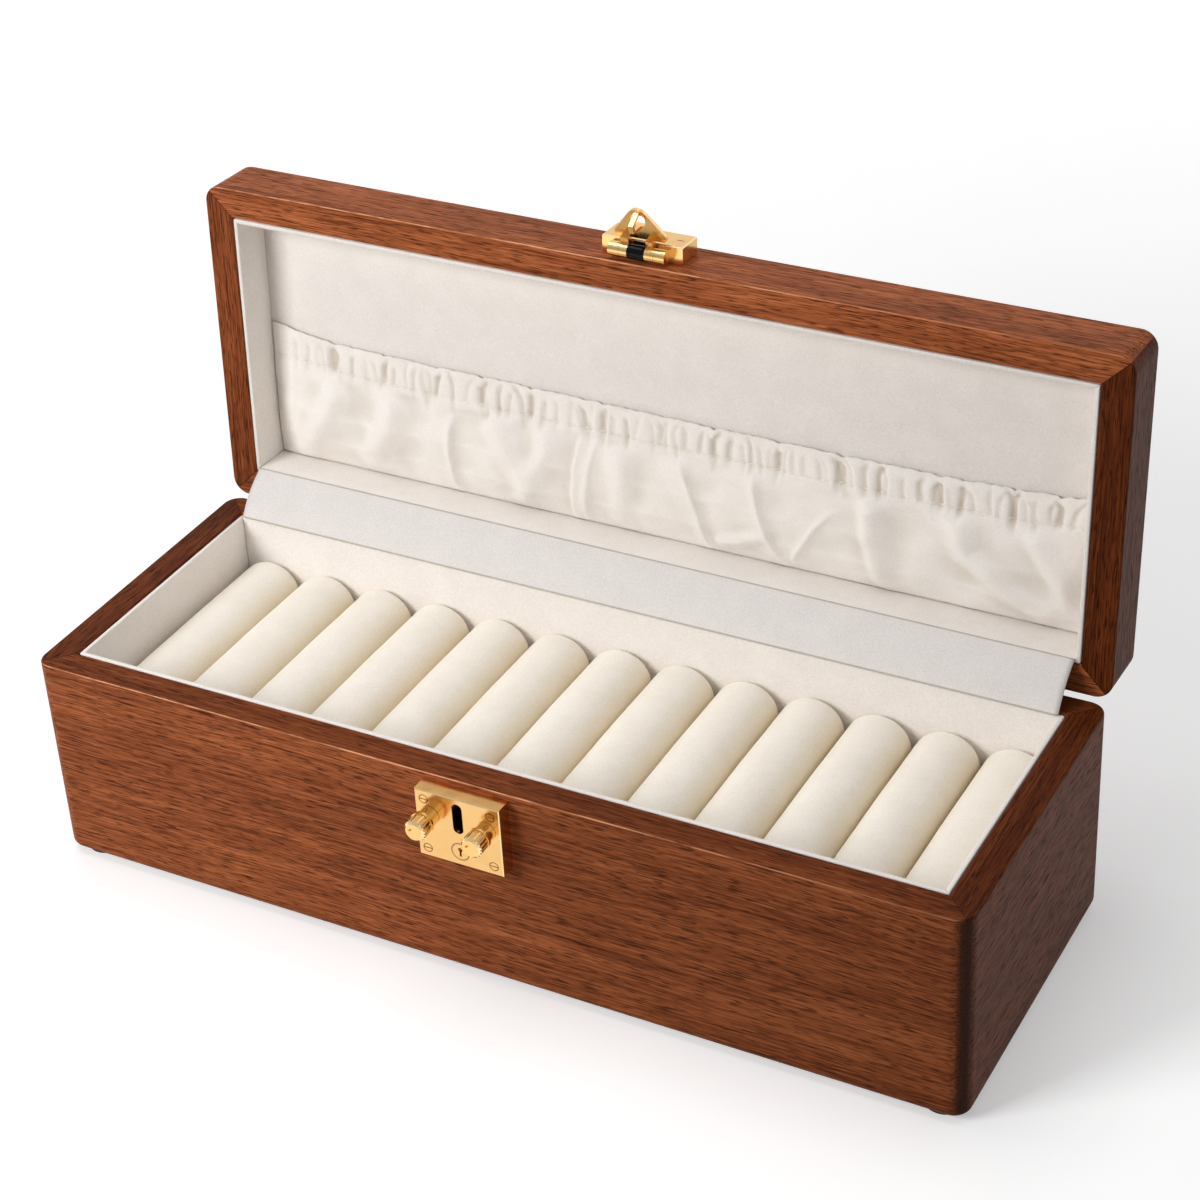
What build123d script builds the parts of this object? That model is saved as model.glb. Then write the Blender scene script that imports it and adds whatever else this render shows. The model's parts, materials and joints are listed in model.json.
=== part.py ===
from build123d import *
import os
from math import atan2, degrees, hypot

# A wooden bangle box, standing open. Sizes are in millimetres.
# The origin is under the middle of the base, on the surface it stands on:
# +X runs along the box to the right, -Y to the front and +Z up.
# What belongs to the lid is drawn with the lid shut, and is then swung open.

# Base case
box_length = 330.0
box_depth = 118.0
body_height = 76.0
wall = 10.5
corner_radius = 6.0
bottom_edge_radius = 3.0
rim_edge_radius = 0.8
panel_thickness = 4.0
panel_lift = 3.0
groove_depth = 4.0
groove_gap = 0.3
foot_height = 2.0
foot_diameter = 14.0
foot_inset = 10.0

# Lid
lid_height = 23.0
lid_edge_radius = 3.0
lid_panel_thickness = 5.0
lid_rebate = 5.0
lid_panel_gap = 0.2
rim_gap = 0.2
lid_open_angle = 93.0

# Suede lining
liner_thickness = 1.5
liner_gap = 0.3
lid_liner_panel_thickness = 2.5
ledge_width = 8.0
soft_gap = 0.3

# Bangle rolls
roll_count = 13
roll_spacing = 0.4
roll_drop = 13.8
roll_end_edge = 1.8
roll_end_dish = 0.8

# Gathered pocket in the lid
pocket_folds = 12
pocket_reach = 46.4
pocket_cloth = 0.9
pocket_casing = 8.0
pocket_gather = 3.0
pocket_mouth_off = 5.6
pocket_belly_off = 6.6
pocket_belly_reach = 12.0
pocket_hem_reach = 3.5
pocket_hem_off = 3.4
casing_wave = 0.35
belly_wave = 1.1
hem_wave = 0.2

# Ribbon over the joint at the back
ribbon_thickness = 0.8
ribbon_bulge = 3.2
ribbon_inset = 0.3

# Butt hinges
hinge_offset = 95.0
hinge_length = 26.0
hinge_axis_out = 0.8
knuckle_count = 5
knuckle_gap = 0.1
barrel_radius = 1.9
barrel_room = 0.15
hinge_pin_radius = 0.9
leaf_width = 7.5
leaf_thickness = 0.9
leaf_sink = 0.05
heel_length = 5.0
heel_thickness = 1.2
heel_gap = 0.3
hinge_screw_offset = 8.0
hinge_screw_inset = 4.9
hinge_screw_length = 7.0

# Running and press fits of shafts in their bores
running_fit = 0.04
press_fit = 0.01
screw_head_radius = 1.5
screw_shank_radius = 0.8
screw_slot_width = 0.4
screw_slot_depth = 0.35

# Lock on the front board
lock_width = 30.0
lock_height = 25.2
lock_thickness = 6.0
lock_drop = 2.2
lock_wall = 1.4
lock_edge = 0.3
lock_back_thickness = 0.8
lock_back_gap = 0.1
lock_screw_inset = 3.2
lock_screw_length = 13.0
boss_radius = 2.2
slot_width = 3.6
slot_room_above = 0.4
slot_room_below = 4.5
key_plug_radius = 2.7
key_plug_rise = 5.2
key_plug_collar = 0.4
keyhole_radius = 0.75
keyhole_length = 2.6
keyhole_width = 0.7
keyhole_depth = 2.0

# Knobs and the cams that they turn
knob_spacing = 20.0
knob_rise = 16.4
knob_shaft_radius = 1.6
knob_standoff = 0.1
knob_neck_radius = 3.35
knob_neck_length = 4.1
knob_ring_radius = 4.0
knob_ring_length = 0.8
knob_head_radius = 3.7
knob_head_length = 4.9
knob_face_radius = 2.9
knob_flutes = 18
knob_flute_radius = 0.35
pointer_length = 2.2
pointer_width = 0.7
pointer_depth = 0.6
pointer_offset = 1.3
pointer_angle = 45.0
cam_thickness = 1.0
cam_side_gap = 0.25
cam_hub_radius = 2.5
cam_arm_width = 1.4
cam_tip_gap = 0.28
cam_turn = 90.0

# Hasp block on the lid
block_width = 28.6
block_height = 10.4
block_proud = 6.2
block_lift = 5.2
block_edge = 0.35
block_screw_inset = 3.4
block_screw_length = 13.0
hasp_axis_out = 3.2
hasp_axis_drop = 2.5
hasp_barrel_radius = 2.4
hasp_barrel_length = 20.0
outer_knuckle = 3.8
knuckle_web = 1.9
hasp_pin_radius = 1.1
hasp_side_gap = 0.1

# Hasp
hasp_rest_swing = 17.0
left_eye_width = 2.8
right_eye_width = 2.3
washer_thickness = 0.8
sleeve_radius = 2.45
plate_width = 18.5
plate_reach = 14.6
plate_thickness = 1.6
plate_tip_radius = 3.9
plate_corner_radius = 1.5
plate_edge = 0.45
plate_gap = 0.25
plate_stop_gap = 0.2
neck_room = 0.5
neck_side = 0.4
staple_start = 7.3
staple_end = 13.6
staple_width = 1.6
staple_tip_width = 2.8
staple_tip_gap = 0.45
window_wall = 1.1
window_side_wall = 0.45
window_tip_wall = 1.1
plate_hole_width = 5.2
plate_hole_radius = 1.2

# Levels and faces that several pieces share
half_length = box_length / 2
half_depth = box_depth / 2
rim_z = foot_height + body_height
lid_rim_z = rim_z + rim_gap
lid_top_z = lid_rim_z + lid_height
inner_length = box_length - 2 * wall
inner_depth = box_depth - 2 * wall
panel_z = foot_height + panel_lift
floor_z = panel_z + panel_thickness
lid_panel_z = lid_top_z - lid_panel_thickness
lined_half_length = inner_length / 2 - liner_gap - liner_thickness
lined_half_depth = inner_depth / 2 - liner_gap - liner_thickness
hinge_y = half_depth + hinge_axis_out
hinge_z = rim_z
lid_swing = Pos(0, hinge_y, hinge_z) * Rot(X=-lid_open_angle) * Pos(0, -hinge_y, -hinge_z)
wood_front = Plane.XZ.offset(half_depth)
lock_front = Plane.XZ.offset(half_depth + lock_thickness)
block_front = Plane.XZ.offset(half_depth + block_proud)

os.makedirs("parts", exist_ok=True)


def save(piece, name):
    """Name a finished piece and write its file."""
    piece.label = name
    export_step(piece, f"parts/{name}.step")


def mitred(frame, side):
    """Return one side of a rectangular frame, cut at 45 degrees through its corners."""
    ridge = half_length - half_depth
    outlines = {
        "front": [(-half_length, -half_depth), (half_length, -half_depth), (ridge, 0), (-ridge, 0)],
        "rear": [(half_length, half_depth), (-half_length, half_depth), (-ridge, 0), (ridge, 0)],
        "left": [(-half_length, half_depth), (-half_length, -half_depth), (-ridge, 0)],
        "right": [(half_length, -half_depth), (half_length, half_depth), (ridge, 0)],
    }
    with BuildPart() as board:
        add(frame)
        with BuildSketch():
            with BuildLine():
                Polyline(*outlines[side], close=True)
            make_face()
        extrude(amount=lid_top_z, mode=Mode.INTERSECT)
    return board.part


def wood_screw(length, slotted=True):
    """Return a countersunk screw, its head level with the XY plane and its point downwards."""
    head_depth = screw_head_radius - screw_shank_radius
    with BuildPart() as screw:
        with BuildSketch(Plane.XZ):
            with BuildLine():
                Polyline(
                    (0, 0),
                    (screw_head_radius, 0),
                    (screw_shank_radius, -head_depth),
                    (screw_shank_radius, screw_shank_radius - length),
                    (0, -length),
                    close=True,
                )
            make_face()
        revolve(axis=Axis.Z)
        if slotted:
            with BuildSketch():
                Rectangle(2 * screw_head_radius, screw_slot_width)
            extrude(amount=-screw_slot_depth, mode=Mode.SUBTRACT)
    return screw.part


# Case frame, before it is cut into its four boards
with BuildPart() as base_frame:
    with BuildSketch(Plane.XY.offset(foot_height)):
        RectangleRounded(box_length, box_depth, corner_radius)
    extrude(amount=body_height)
    fillet(base_frame.faces().sort_by(Axis.Z)[0].edges(), bottom_edge_radius)
    with BuildSketch(Plane.XY.offset(foot_height)):
        Rectangle(inner_length, inner_depth)
    extrude(amount=body_height, mode=Mode.SUBTRACT)
    fillet(base_frame.faces().sort_by(Axis.Z)[-1].edges(), rim_edge_radius)
    with BuildSketch(Plane.XY.offset(panel_z)):
        Rectangle(inner_length + 2 * groove_depth, inner_depth + 2 * groove_depth)
    extrude(amount=panel_thickness, mode=Mode.SUBTRACT)

# Lid frame, with the rebate that takes the top panel
with BuildPart() as lid_frame:
    with BuildSketch(Plane.XY.offset(lid_rim_z)):
        RectangleRounded(box_length, box_depth, corner_radius)
    extrude(amount=lid_height)
    fillet(lid_frame.faces().sort_by(Axis.Z)[-1].edges(), lid_edge_radius)
    with BuildSketch(Plane.XY.offset(lid_rim_z)):
        Rectangle(inner_length, inner_depth)
    extrude(amount=lid_height, mode=Mode.SUBTRACT)
    fillet(lid_frame.faces().sort_by(Axis.Z)[0].edges(), rim_edge_radius)
    with BuildSketch(Plane.XY.offset(lid_panel_z)):
        Rectangle(inner_length + 2 * lid_rebate, inner_depth + 2 * lid_rebate)
    extrude(amount=lid_panel_thickness, mode=Mode.SUBTRACT)

# Places of the screws: the lock's four, the block's two and three for each hinge leaf
lock_centre_z = rim_z - lock_drop - lock_height / 2
lock_bottom_z = lock_centre_z - lock_height / 2
lock_inner_width = lock_width - 2 * lock_wall
lock_inner_height = lock_height - 2 * lock_wall
lock_screw_x = lock_width / 2 - lock_screw_inset
lock_screw_z = lock_height / 2 - lock_screw_inset
lock_screw_places = [
    (x, lock_centre_z + z) for x in (-lock_screw_x, lock_screw_x) for z in (-lock_screw_z, lock_screw_z)
]
block_centre_z = lid_rim_z + block_lift + block_height / 2
block_screw_x = block_width / 2 - block_screw_inset
block_screw_places = [(x, block_centre_z) for x in (-block_screw_x, block_screw_x)]
hinge_screw_places = [
    (hinge_x + x, half_depth - hinge_screw_inset)
    for hinge_x in (-hinge_offset, hinge_offset)
    for x in (-hinge_screw_offset, 0, hinge_screw_offset)
]
base_leaf_top_z = rim_z - leaf_sink
lid_leaf_bottom_z = lid_rim_z + leaf_sink
lock_screw = wood_screw(lock_screw_length)
lock_screw_hole = wood_screw(lock_screw_length, slotted=False)
block_screw = wood_screw(block_screw_length)
block_screw_hole = wood_screw(block_screw_length, slotted=False)
hinge_screw = wood_screw(hinge_screw_length)
hinge_screw_hole = wood_screw(hinge_screw_length, slotted=False)
base_leaf_top = Plane.XY.offset(base_leaf_top_z)
lid_leaf_bottom = Plane(origin=(0, 0, lid_leaf_bottom_z), x_dir=(1, 0, 0), z_dir=(0, 0, -1))
lid_screw_places = [(x, -y) for x, y in hinge_screw_places]

# Base boards: the lock is screwed to the front one, the hinges are let into the rear one
with BuildPart() as base_front_board:
    add(mitred(base_frame.part, "front"))
    with Locations(lock_front):
        with Locations(*lock_screw_places):
            add(lock_screw_hole, mode=Mode.SUBTRACT)
save(base_front_board.part, "base_front_board")

with BuildPart() as base_rear_board:
    add(mitred(base_frame.part, "rear"))
    for hinge_x in (-hinge_offset, hinge_offset):
        with BuildSketch(Plane.XY.offset(rim_z)):
            with Locations((hinge_x, half_depth - leaf_width / 2)):
                Rectangle(hinge_length, leaf_width)
        extrude(amount=-leaf_sink - leaf_thickness, mode=Mode.SUBTRACT)
        with BuildSketch(Plane.YZ.offset(hinge_x - hinge_length / 2 - barrel_room)):
            with Locations((hinge_y, hinge_z)):
                Circle(barrel_radius + barrel_room)
        extrude(amount=hinge_length + 2 * barrel_room, mode=Mode.SUBTRACT)
    with Locations(base_leaf_top):
        with Locations(*hinge_screw_places):
            add(hinge_screw_hole, mode=Mode.SUBTRACT)
save(base_rear_board.part, "base_rear_board")

save(mitred(base_frame.part, "left"), "base_left_board")
save(mitred(base_frame.part, "right"), "base_right_board")

with BuildPart() as base_bottom_panel:
    tongue = groove_depth - groove_gap
    with BuildSketch(Plane.XY.offset(panel_z)):
        Rectangle(inner_length + 2 * tongue, inner_depth + 2 * tongue)
    extrude(amount=panel_thickness)
save(base_bottom_panel.part, "base_bottom_panel")

# Feet: four discs under the corners
foot_x = half_length - foot_inset
foot_y = half_depth - foot_inset
foot_places = {
    "front_left": (-foot_x, -foot_y),
    "front_right": (foot_x, -foot_y),
    "rear_left": (-foot_x, foot_y),
    "rear_right": (foot_x, foot_y),
}
for corner, place in foot_places.items():
    with BuildPart() as foot:
        with BuildSketch():
            with Locations(place):
                Circle(foot_diameter / 2)
        extrude(amount=foot_height)
    save(foot.part, f"foot_{corner}")

# Base lining: a floor, and four mitred liners up to the rim; the long ones carry the rolls
floor_top_z = floor_z + liner_thickness
roll_pitch = 2 * lined_half_length / roll_count
roll_radius = (roll_pitch - roll_spacing) / 2
roll_z = rim_z - roll_drop - roll_radius
ledge_top_z = roll_z - roll_radius - soft_gap

with BuildPart() as base_liner_floor:
    with BuildSketch(Plane.XY.offset(floor_z)):
        Rectangle(inner_length - 2 * liner_gap, inner_depth - 2 * liner_gap)
    extrude(amount=liner_thickness)
save(base_liner_floor.part, "base_liner_floor")

with BuildPart() as base_lining:
    with BuildSketch(Plane.XY.offset(floor_top_z)):
        Rectangle(inner_length - 2 * liner_gap, inner_depth - 2 * liner_gap)
        Rectangle(2 * lined_half_length, 2 * lined_half_depth, mode=Mode.SUBTRACT)
    extrude(amount=rim_z - floor_top_z)
save(mitred(base_lining.part, "left"), "base_liner_left")
save(mitred(base_lining.part, "right"), "base_liner_right")

for side, direction in (("front", -1), ("rear", 1)):
    with BuildPart() as base_liner:
        add(mitred(base_lining.part, side))
        with BuildSketch(Plane.XY.offset(floor_top_z)):
            with Locations((0, direction * (lined_half_depth - ledge_width / 2))):
                Rectangle(2 * lined_half_length, ledge_width)
        extrude(amount=ledge_top_z - floor_top_z)
    save(base_liner.part, f"base_liner_{side}")

# Bangle rolls: padded cylinders with softened, slightly dished ends
roll_half = lined_half_depth - soft_gap
for number in range(1, roll_count + 1):
    roll_x = -lined_half_length + roll_pitch * (number - 0.5)
    with BuildPart() as roll:
        with BuildSketch(Plane.XY):
            with BuildLine():
                Polyline(
                    (0, roll_end_dish - roll_half),
                    (roll_radius - roll_end_edge, -roll_half),
                    (roll_radius, roll_end_edge - roll_half),
                    (roll_radius, roll_half - roll_end_edge),
                    (roll_radius - roll_end_edge, roll_half),
                    (0, roll_half - roll_end_dish),
                    close=True,
                )
            make_face()
        revolve(axis=Axis.Y)
    save(roll.part.moved(Pos(roll_x, 0, roll_z)), f"roll_{number:02d}")

# Lid rails and top panel: the block is screwed to the front rail, the hinges are let into the rear
with BuildPart() as lid_front_rail:
    add(mitred(lid_frame.part, "front"))
    with Locations(block_front):
        with Locations(*block_screw_places):
            add(block_screw_hole, mode=Mode.SUBTRACT)
save(lid_front_rail.part.moved(lid_swing), "lid_front_rail")

with BuildPart() as lid_rear_rail:
    add(mitred(lid_frame.part, "rear"))
    for hinge_x in (-hinge_offset, hinge_offset):
        with BuildSketch(Plane.XY.offset(lid_rim_z)):
            with Locations((hinge_x, half_depth - leaf_width / 2)):
                Rectangle(hinge_length, leaf_width)
        extrude(amount=leaf_sink + leaf_thickness, mode=Mode.SUBTRACT)
        with BuildSketch(Plane.YZ.offset(hinge_x - hinge_length / 2 - barrel_room)):
            with Locations((hinge_y, hinge_z)):
                Circle(barrel_radius + barrel_room)
        extrude(amount=hinge_length + 2 * barrel_room, mode=Mode.SUBTRACT)
    with Locations(lid_leaf_bottom):
        with Locations(*lid_screw_places):
            add(hinge_screw_hole, mode=Mode.SUBTRACT)
save(lid_rear_rail.part.moved(lid_swing), "lid_rear_rail")

save(mitred(lid_frame.part, "left").moved(lid_swing), "lid_left_rail")
save(mitred(lid_frame.part, "right").moved(lid_swing), "lid_right_rail")

with BuildPart() as lid_top_panel:
    panel_overlap = lid_rebate - lid_panel_gap
    with BuildSketch(Plane.XY.offset(lid_panel_z)):
        Rectangle(inner_length + 2 * panel_overlap, inner_depth + 2 * panel_overlap)
    extrude(amount=lid_panel_thickness)
save(lid_top_panel.part.moved(lid_swing), "lid_top_panel")

# Lid lining: a padded panel under the top, and four mitred liners down to the rim
lid_lining_z = lid_panel_z - lid_liner_panel_thickness

with BuildPart() as lid_liner_panel:
    with BuildSketch(Plane.XY.offset(lid_lining_z)):
        Rectangle(inner_length - 2 * liner_gap, inner_depth - 2 * liner_gap)
    extrude(amount=lid_liner_panel_thickness)
save(lid_liner_panel.part.moved(lid_swing), "lid_liner_panel")

with BuildPart() as lid_lining:
    with BuildSketch(Plane.XY.offset(lid_rim_z)):
        Rectangle(inner_length - 2 * liner_gap, inner_depth - 2 * liner_gap)
        Rectangle(2 * lined_half_length, 2 * lined_half_depth, mode=Mode.SUBTRACT)
    extrude(amount=lid_lining_z - lid_rim_z)
for side in ("front", "rear", "left", "right"):
    save(mitred(lid_lining.part, side).moved(lid_swing), f"lid_liner_{side}")


def pocket_section(y, off, wave):
    """Return the gathered cloth's outline across the lid, standing off the panel by a distance."""
    width = 2 * (lined_half_length - soft_gap)
    half_fold = width / pocket_folds / 2
    with BuildSketch(Plane(origin=(0, y, lid_lining_z), x_dir=(1, 0, 0), z_dir=(0, 1, 0))) as section:
        with BuildLine():
            for level in (off, off + pocket_cloth):
                for step in range(2 * pocket_folds):
                    start = -width / 2 + step * half_fold
                    bulge = wave if step % 2 == 0 else -wave
                    ThreePointArc(
                        (start, level), (start + half_fold / 2, level + bulge), (start + half_fold, level)
                    )
            for end in (-width / 2, width / 2):
                Line((end, off), (end, off + pocket_cloth))
        make_face()
    return section.sketch


# Pocket: elastic casing along its mouth, gathered under that, full in the middle, hemmed to the panel
pocket_hem_y = lined_half_depth - soft_gap
pocket_mouth_y = pocket_hem_y - pocket_reach
gather_y = pocket_mouth_y + pocket_casing
pocket_sections = [
    pocket_section(pocket_mouth_y, pocket_mouth_off, casing_wave),
    pocket_section(gather_y, pocket_mouth_off, casing_wave),
    pocket_section(gather_y + pocket_gather, pocket_mouth_off, casing_wave),
    pocket_section(gather_y + pocket_gather + pocket_belly_reach / 2, pocket_belly_off, belly_wave),
    pocket_section(pocket_hem_y - pocket_belly_reach, pocket_belly_off, belly_wave),
    pocket_section(pocket_hem_y - pocket_hem_reach, pocket_hem_off, belly_wave / 2),
    pocket_section(pocket_hem_y, soft_gap + hem_wave, hem_wave),
]
with BuildPart() as lid_pocket:
    loft(pocket_sections, ruled=True)
save(lid_pocket.part.moved(lid_swing), "lid_pocket")

# Ribbon: a bowed strip of suede from the rear base liner up to the rear lid liner
ribbon_start = (lined_half_depth + ribbon_inset, rim_z)
lid_edge = lid_swing * Pos(0, lined_half_depth + liner_thickness / 2, lid_rim_z - soft_gap)
ribbon_end = (lid_edge.position.Y - ribbon_thickness, lid_edge.position.Z)
ribbon_run = (ribbon_end[0] - ribbon_start[0], ribbon_end[1] - ribbon_start[1])
ribbon_chord = hypot(*ribbon_run)
bulge_across = (-ribbon_run[1] / ribbon_chord, ribbon_run[0] / ribbon_chord)
ribbon_middle = (
    (ribbon_start[0] + ribbon_end[0]) / 2 + bulge_across[0] * ribbon_bulge,
    (ribbon_start[1] + ribbon_end[1]) / 2 + bulge_across[1] * ribbon_bulge,
)
inner_start = (ribbon_start[0] + ribbon_thickness, ribbon_start[1])
inner_middle = (
    ribbon_middle[0] - bulge_across[0] * ribbon_thickness,
    ribbon_middle[1] - bulge_across[1] * ribbon_thickness,
)
inner_end = (ribbon_end[0] + ribbon_thickness, ribbon_end[1])
with BuildPart() as hinge_ribbon:
    with BuildSketch(Plane.YZ.offset(ribbon_inset - lined_half_length)):
        with BuildLine():
            ThreePointArc(ribbon_start, ribbon_middle, ribbon_end)
            Line(ribbon_end, inner_end)
            ThreePointArc(inner_end, inner_middle, inner_start)
            Line(inner_start, ribbon_start)
        make_face()
    extrude(amount=2 * (lined_half_length - ribbon_inset))
save(hinge_ribbon.part, "hinge_ribbon")

# Butt hinges: leaves let into the two rear boards, knuckles in turn on one pin,
# and a heel on the lid's knuckles that stops the lid against the back of the base
knuckle_pitch = hinge_length / knuckle_count
base_knuckles = range(0, knuckle_count, 2)
lid_knuckles = range(1, knuckle_count, 2)


def hinge_leaf(hinge_x, leaf_low_z, own, others, pin_fit, with_heel):
    """Return one leaf of a hinge, with its knuckles and the gaps for the other leaf's."""
    start_x = hinge_x - hinge_length / 2
    with BuildPart() as leaf:
        with BuildSketch(Plane.XY.offset(leaf_low_z)):
            with Locations((hinge_x, (half_depth - leaf_width + hinge_y) / 2)):
                Rectangle(hinge_length - 2 * knuckle_gap, leaf_width + hinge_axis_out)
        extrude(amount=leaf_thickness)
        for knuckle in others:
            with BuildSketch(Plane.YZ.offset(start_x + knuckle * knuckle_pitch - knuckle_gap)):
                with Locations((hinge_y, hinge_z)):
                    Circle(barrel_radius + barrel_room)
            extrude(amount=knuckle_pitch + 2 * knuckle_gap, mode=Mode.SUBTRACT)
        for knuckle in own:
            with BuildSketch(Plane.YZ.offset(start_x + knuckle * knuckle_pitch + knuckle_gap)):
                with Locations((hinge_y, hinge_z)):
                    Circle(barrel_radius)
                if with_heel:
                    with Locations(Location((hinge_y, hinge_z), lid_open_angle - 90)):
                        with Locations((heel_length / 2, heel_thickness / 2 - heel_drop)):
                            Rectangle(heel_length, heel_thickness)
            extrude(amount=knuckle_pitch - 2 * knuckle_gap)
        with BuildSketch(Plane.YZ.offset(start_x)):
            with Locations((hinge_y, hinge_z)):
                Circle(hinge_pin_radius + pin_fit)
        extrude(amount=hinge_length, mode=Mode.SUBTRACT)
    return leaf.part


heel_drop = hinge_axis_out - heel_gap
for side, direction in (("left", -1), ("right", 1)):
    hinge_x = direction * hinge_offset
    base_leaf_z = base_leaf_top_z - leaf_thickness
    with BuildPart() as hinge_base_leaf:
        add(hinge_leaf(hinge_x, base_leaf_z, base_knuckles, lid_knuckles, press_fit, False))
        with Locations(base_leaf_top):
            with Locations(*hinge_screw_places):
                add(hinge_screw_hole, mode=Mode.SUBTRACT)
    save(hinge_base_leaf.part, f"hinge_base_leaf_{side}")
    with BuildPart() as hinge_lid_leaf:
        add(hinge_leaf(hinge_x, lid_leaf_bottom_z, lid_knuckles, base_knuckles, running_fit, True))
        with Locations(lid_leaf_bottom):
            with Locations(*lid_screw_places):
                add(hinge_screw_hole, mode=Mode.SUBTRACT)
    save(hinge_lid_leaf.part.moved(lid_swing), f"hinge_lid_leaf_{side}")

with BuildPart() as hinge_pins:
    for hinge_x in (-hinge_offset, hinge_offset):
        with BuildSketch(Plane.YZ.offset(hinge_x - hinge_length / 2 + knuckle_gap)):
            with Locations((hinge_y, hinge_z)):
                Circle(hinge_pin_radius)
        extrude(amount=hinge_length - 2 * knuckle_gap)
save(hinge_pins.part, "hinge_pins")

with BuildPart() as hinge_screws_base:
    with Locations(base_leaf_top):
        with Locations(*hinge_screw_places):
            add(hinge_screw)
save(hinge_screws_base.part, "hinge_screws_base")

with BuildPart() as hinge_screws_lid:
    with Locations(lid_leaf_bottom):
        with Locations(*lid_screw_places):
            add(hinge_screw)
save(hinge_screws_lid.part.moved(lid_swing), "hinge_screws_lid")

# Hasp geometry that the lock has to match, with the hasp hanging shut in front of the lock
hasp_axis_y = -half_depth - hasp_axis_out
hasp_axis_z = lid_rim_z + block_lift - hasp_axis_drop
plate_inner = lock_thickness - hasp_axis_out + plate_gap
plate_outer = plate_inner + plate_thickness
plate_start = block_proud - hasp_axis_out + plate_stop_gap
neck_reach = hasp_axis_z - (rim_z - lock_drop) - neck_room
staple_depth = lock_thickness + plate_gap - lock_back_thickness - staple_tip_gap
staple_middle = (staple_start + staple_end) / 2
window_z = hasp_axis_z - staple_middle

# Lock case: a shallow brass box with screw bosses, a slot for the staple and bores for the shafts
knob_z = lock_bottom_z + knob_rise
key_plug_z = lock_bottom_z + key_plug_rise
slot_top_z = hasp_axis_z - staple_start + slot_room_above
slot_bottom_z = hasp_axis_z - staple_end - slot_room_below
cavity_depth = lock_thickness - lock_wall - lock_back_thickness
with BuildPart() as lock_case:
    with BuildSketch(wood_front):
        with Locations((0, lock_centre_z)):
            Rectangle(lock_width, lock_height)
    extrude(amount=lock_thickness)
    chamfer(lock_case.faces().sort_by(Axis.Y)[0].edges(), lock_edge)
    with BuildSketch(wood_front):
        with Locations((0, lock_centre_z)):
            Rectangle(lock_inner_width, lock_inner_height)
    extrude(amount=lock_back_thickness, mode=Mode.SUBTRACT)
    with BuildSketch(wood_front.offset(lock_back_thickness)):
        with Locations((0, lock_centre_z)):
            Rectangle(lock_inner_width, lock_inner_height)
        with Locations(*lock_screw_places):
            Circle(boss_radius, mode=Mode.SUBTRACT)
    extrude(amount=cavity_depth, mode=Mode.SUBTRACT)
    with BuildSketch(lock_front):
        with Locations((0, (slot_top_z + slot_bottom_z) / 2)):
            SlotOverall(slot_top_z - slot_bottom_z, slot_width, rotation=90)
        with Locations((-knob_spacing / 2, knob_z), (knob_spacing / 2, knob_z)):
            Circle(knob_shaft_radius + running_fit)
        with Locations((0, key_plug_z)):
            Circle(key_plug_radius + running_fit)
    extrude(amount=-lock_wall, mode=Mode.SUBTRACT)
    with Locations(lock_front):
        with Locations(*lock_screw_places):
            add(lock_screw_hole, mode=Mode.SUBTRACT)
save(lock_case.part, "lock_case")

with BuildPart() as lock_back_plate:
    with BuildSketch(wood_front):
        with Locations((0, lock_centre_z)):
            Rectangle(lock_inner_width - 2 * lock_back_gap, lock_inner_height - 2 * lock_back_gap)
    extrude(amount=lock_back_thickness)
    with Locations(lock_front):
        with Locations(*lock_screw_places):
            add(lock_screw_hole, mode=Mode.SUBTRACT)
save(lock_back_plate.part, "lock_back_plate")

with BuildPart() as lock_screws:
    with Locations(lock_front):
        with Locations(*lock_screw_places):
            add(lock_screw)
save(lock_screws.part, "lock_screws")

# Key plug: level with the case, with a collar behind the case's wall and a plain keyhole
with BuildPart() as key_plug:
    with BuildSketch(lock_front):
        with Locations((0, key_plug_z)):
            Circle(key_plug_radius)
    extrude(amount=-lock_wall - cavity_depth + staple_tip_gap)
    with BuildSketch(lock_front.offset(-lock_wall - running_fit)):
        with Locations((0, key_plug_z)):
            Circle(key_plug_radius + key_plug_collar)
    extrude(amount=-key_plug_collar)
    with BuildSketch(lock_front):
        with Locations((0, key_plug_z + keyhole_radius)):
            Circle(keyhole_radius)
        with Locations((0, key_plug_z + keyhole_radius - keyhole_length / 2)):
            Rectangle(keyhole_width, keyhole_length)
    extrude(amount=-keyhole_depth, mode=Mode.SUBTRACT)
save(key_plug.part, "key_plug")

# Knobs: turned neck, ring and fluted head on a shaft; each turns a cam behind the case's front
shaft_length = lock_thickness - lock_back_thickness - staple_tip_gap
ring_start = knob_neck_length
ring_end = ring_start + knob_ring_length
head_end = ring_end + knob_head_length
cam_x = knob_spacing / 2 - cam_tip_gap
cam_rise = window_z - knob_z
cam_reach = hypot(cam_x, cam_rise)
cam_locked_angle = degrees(atan2(cam_rise, cam_x))
cam_start = lock_wall + cam_side_gap

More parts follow.
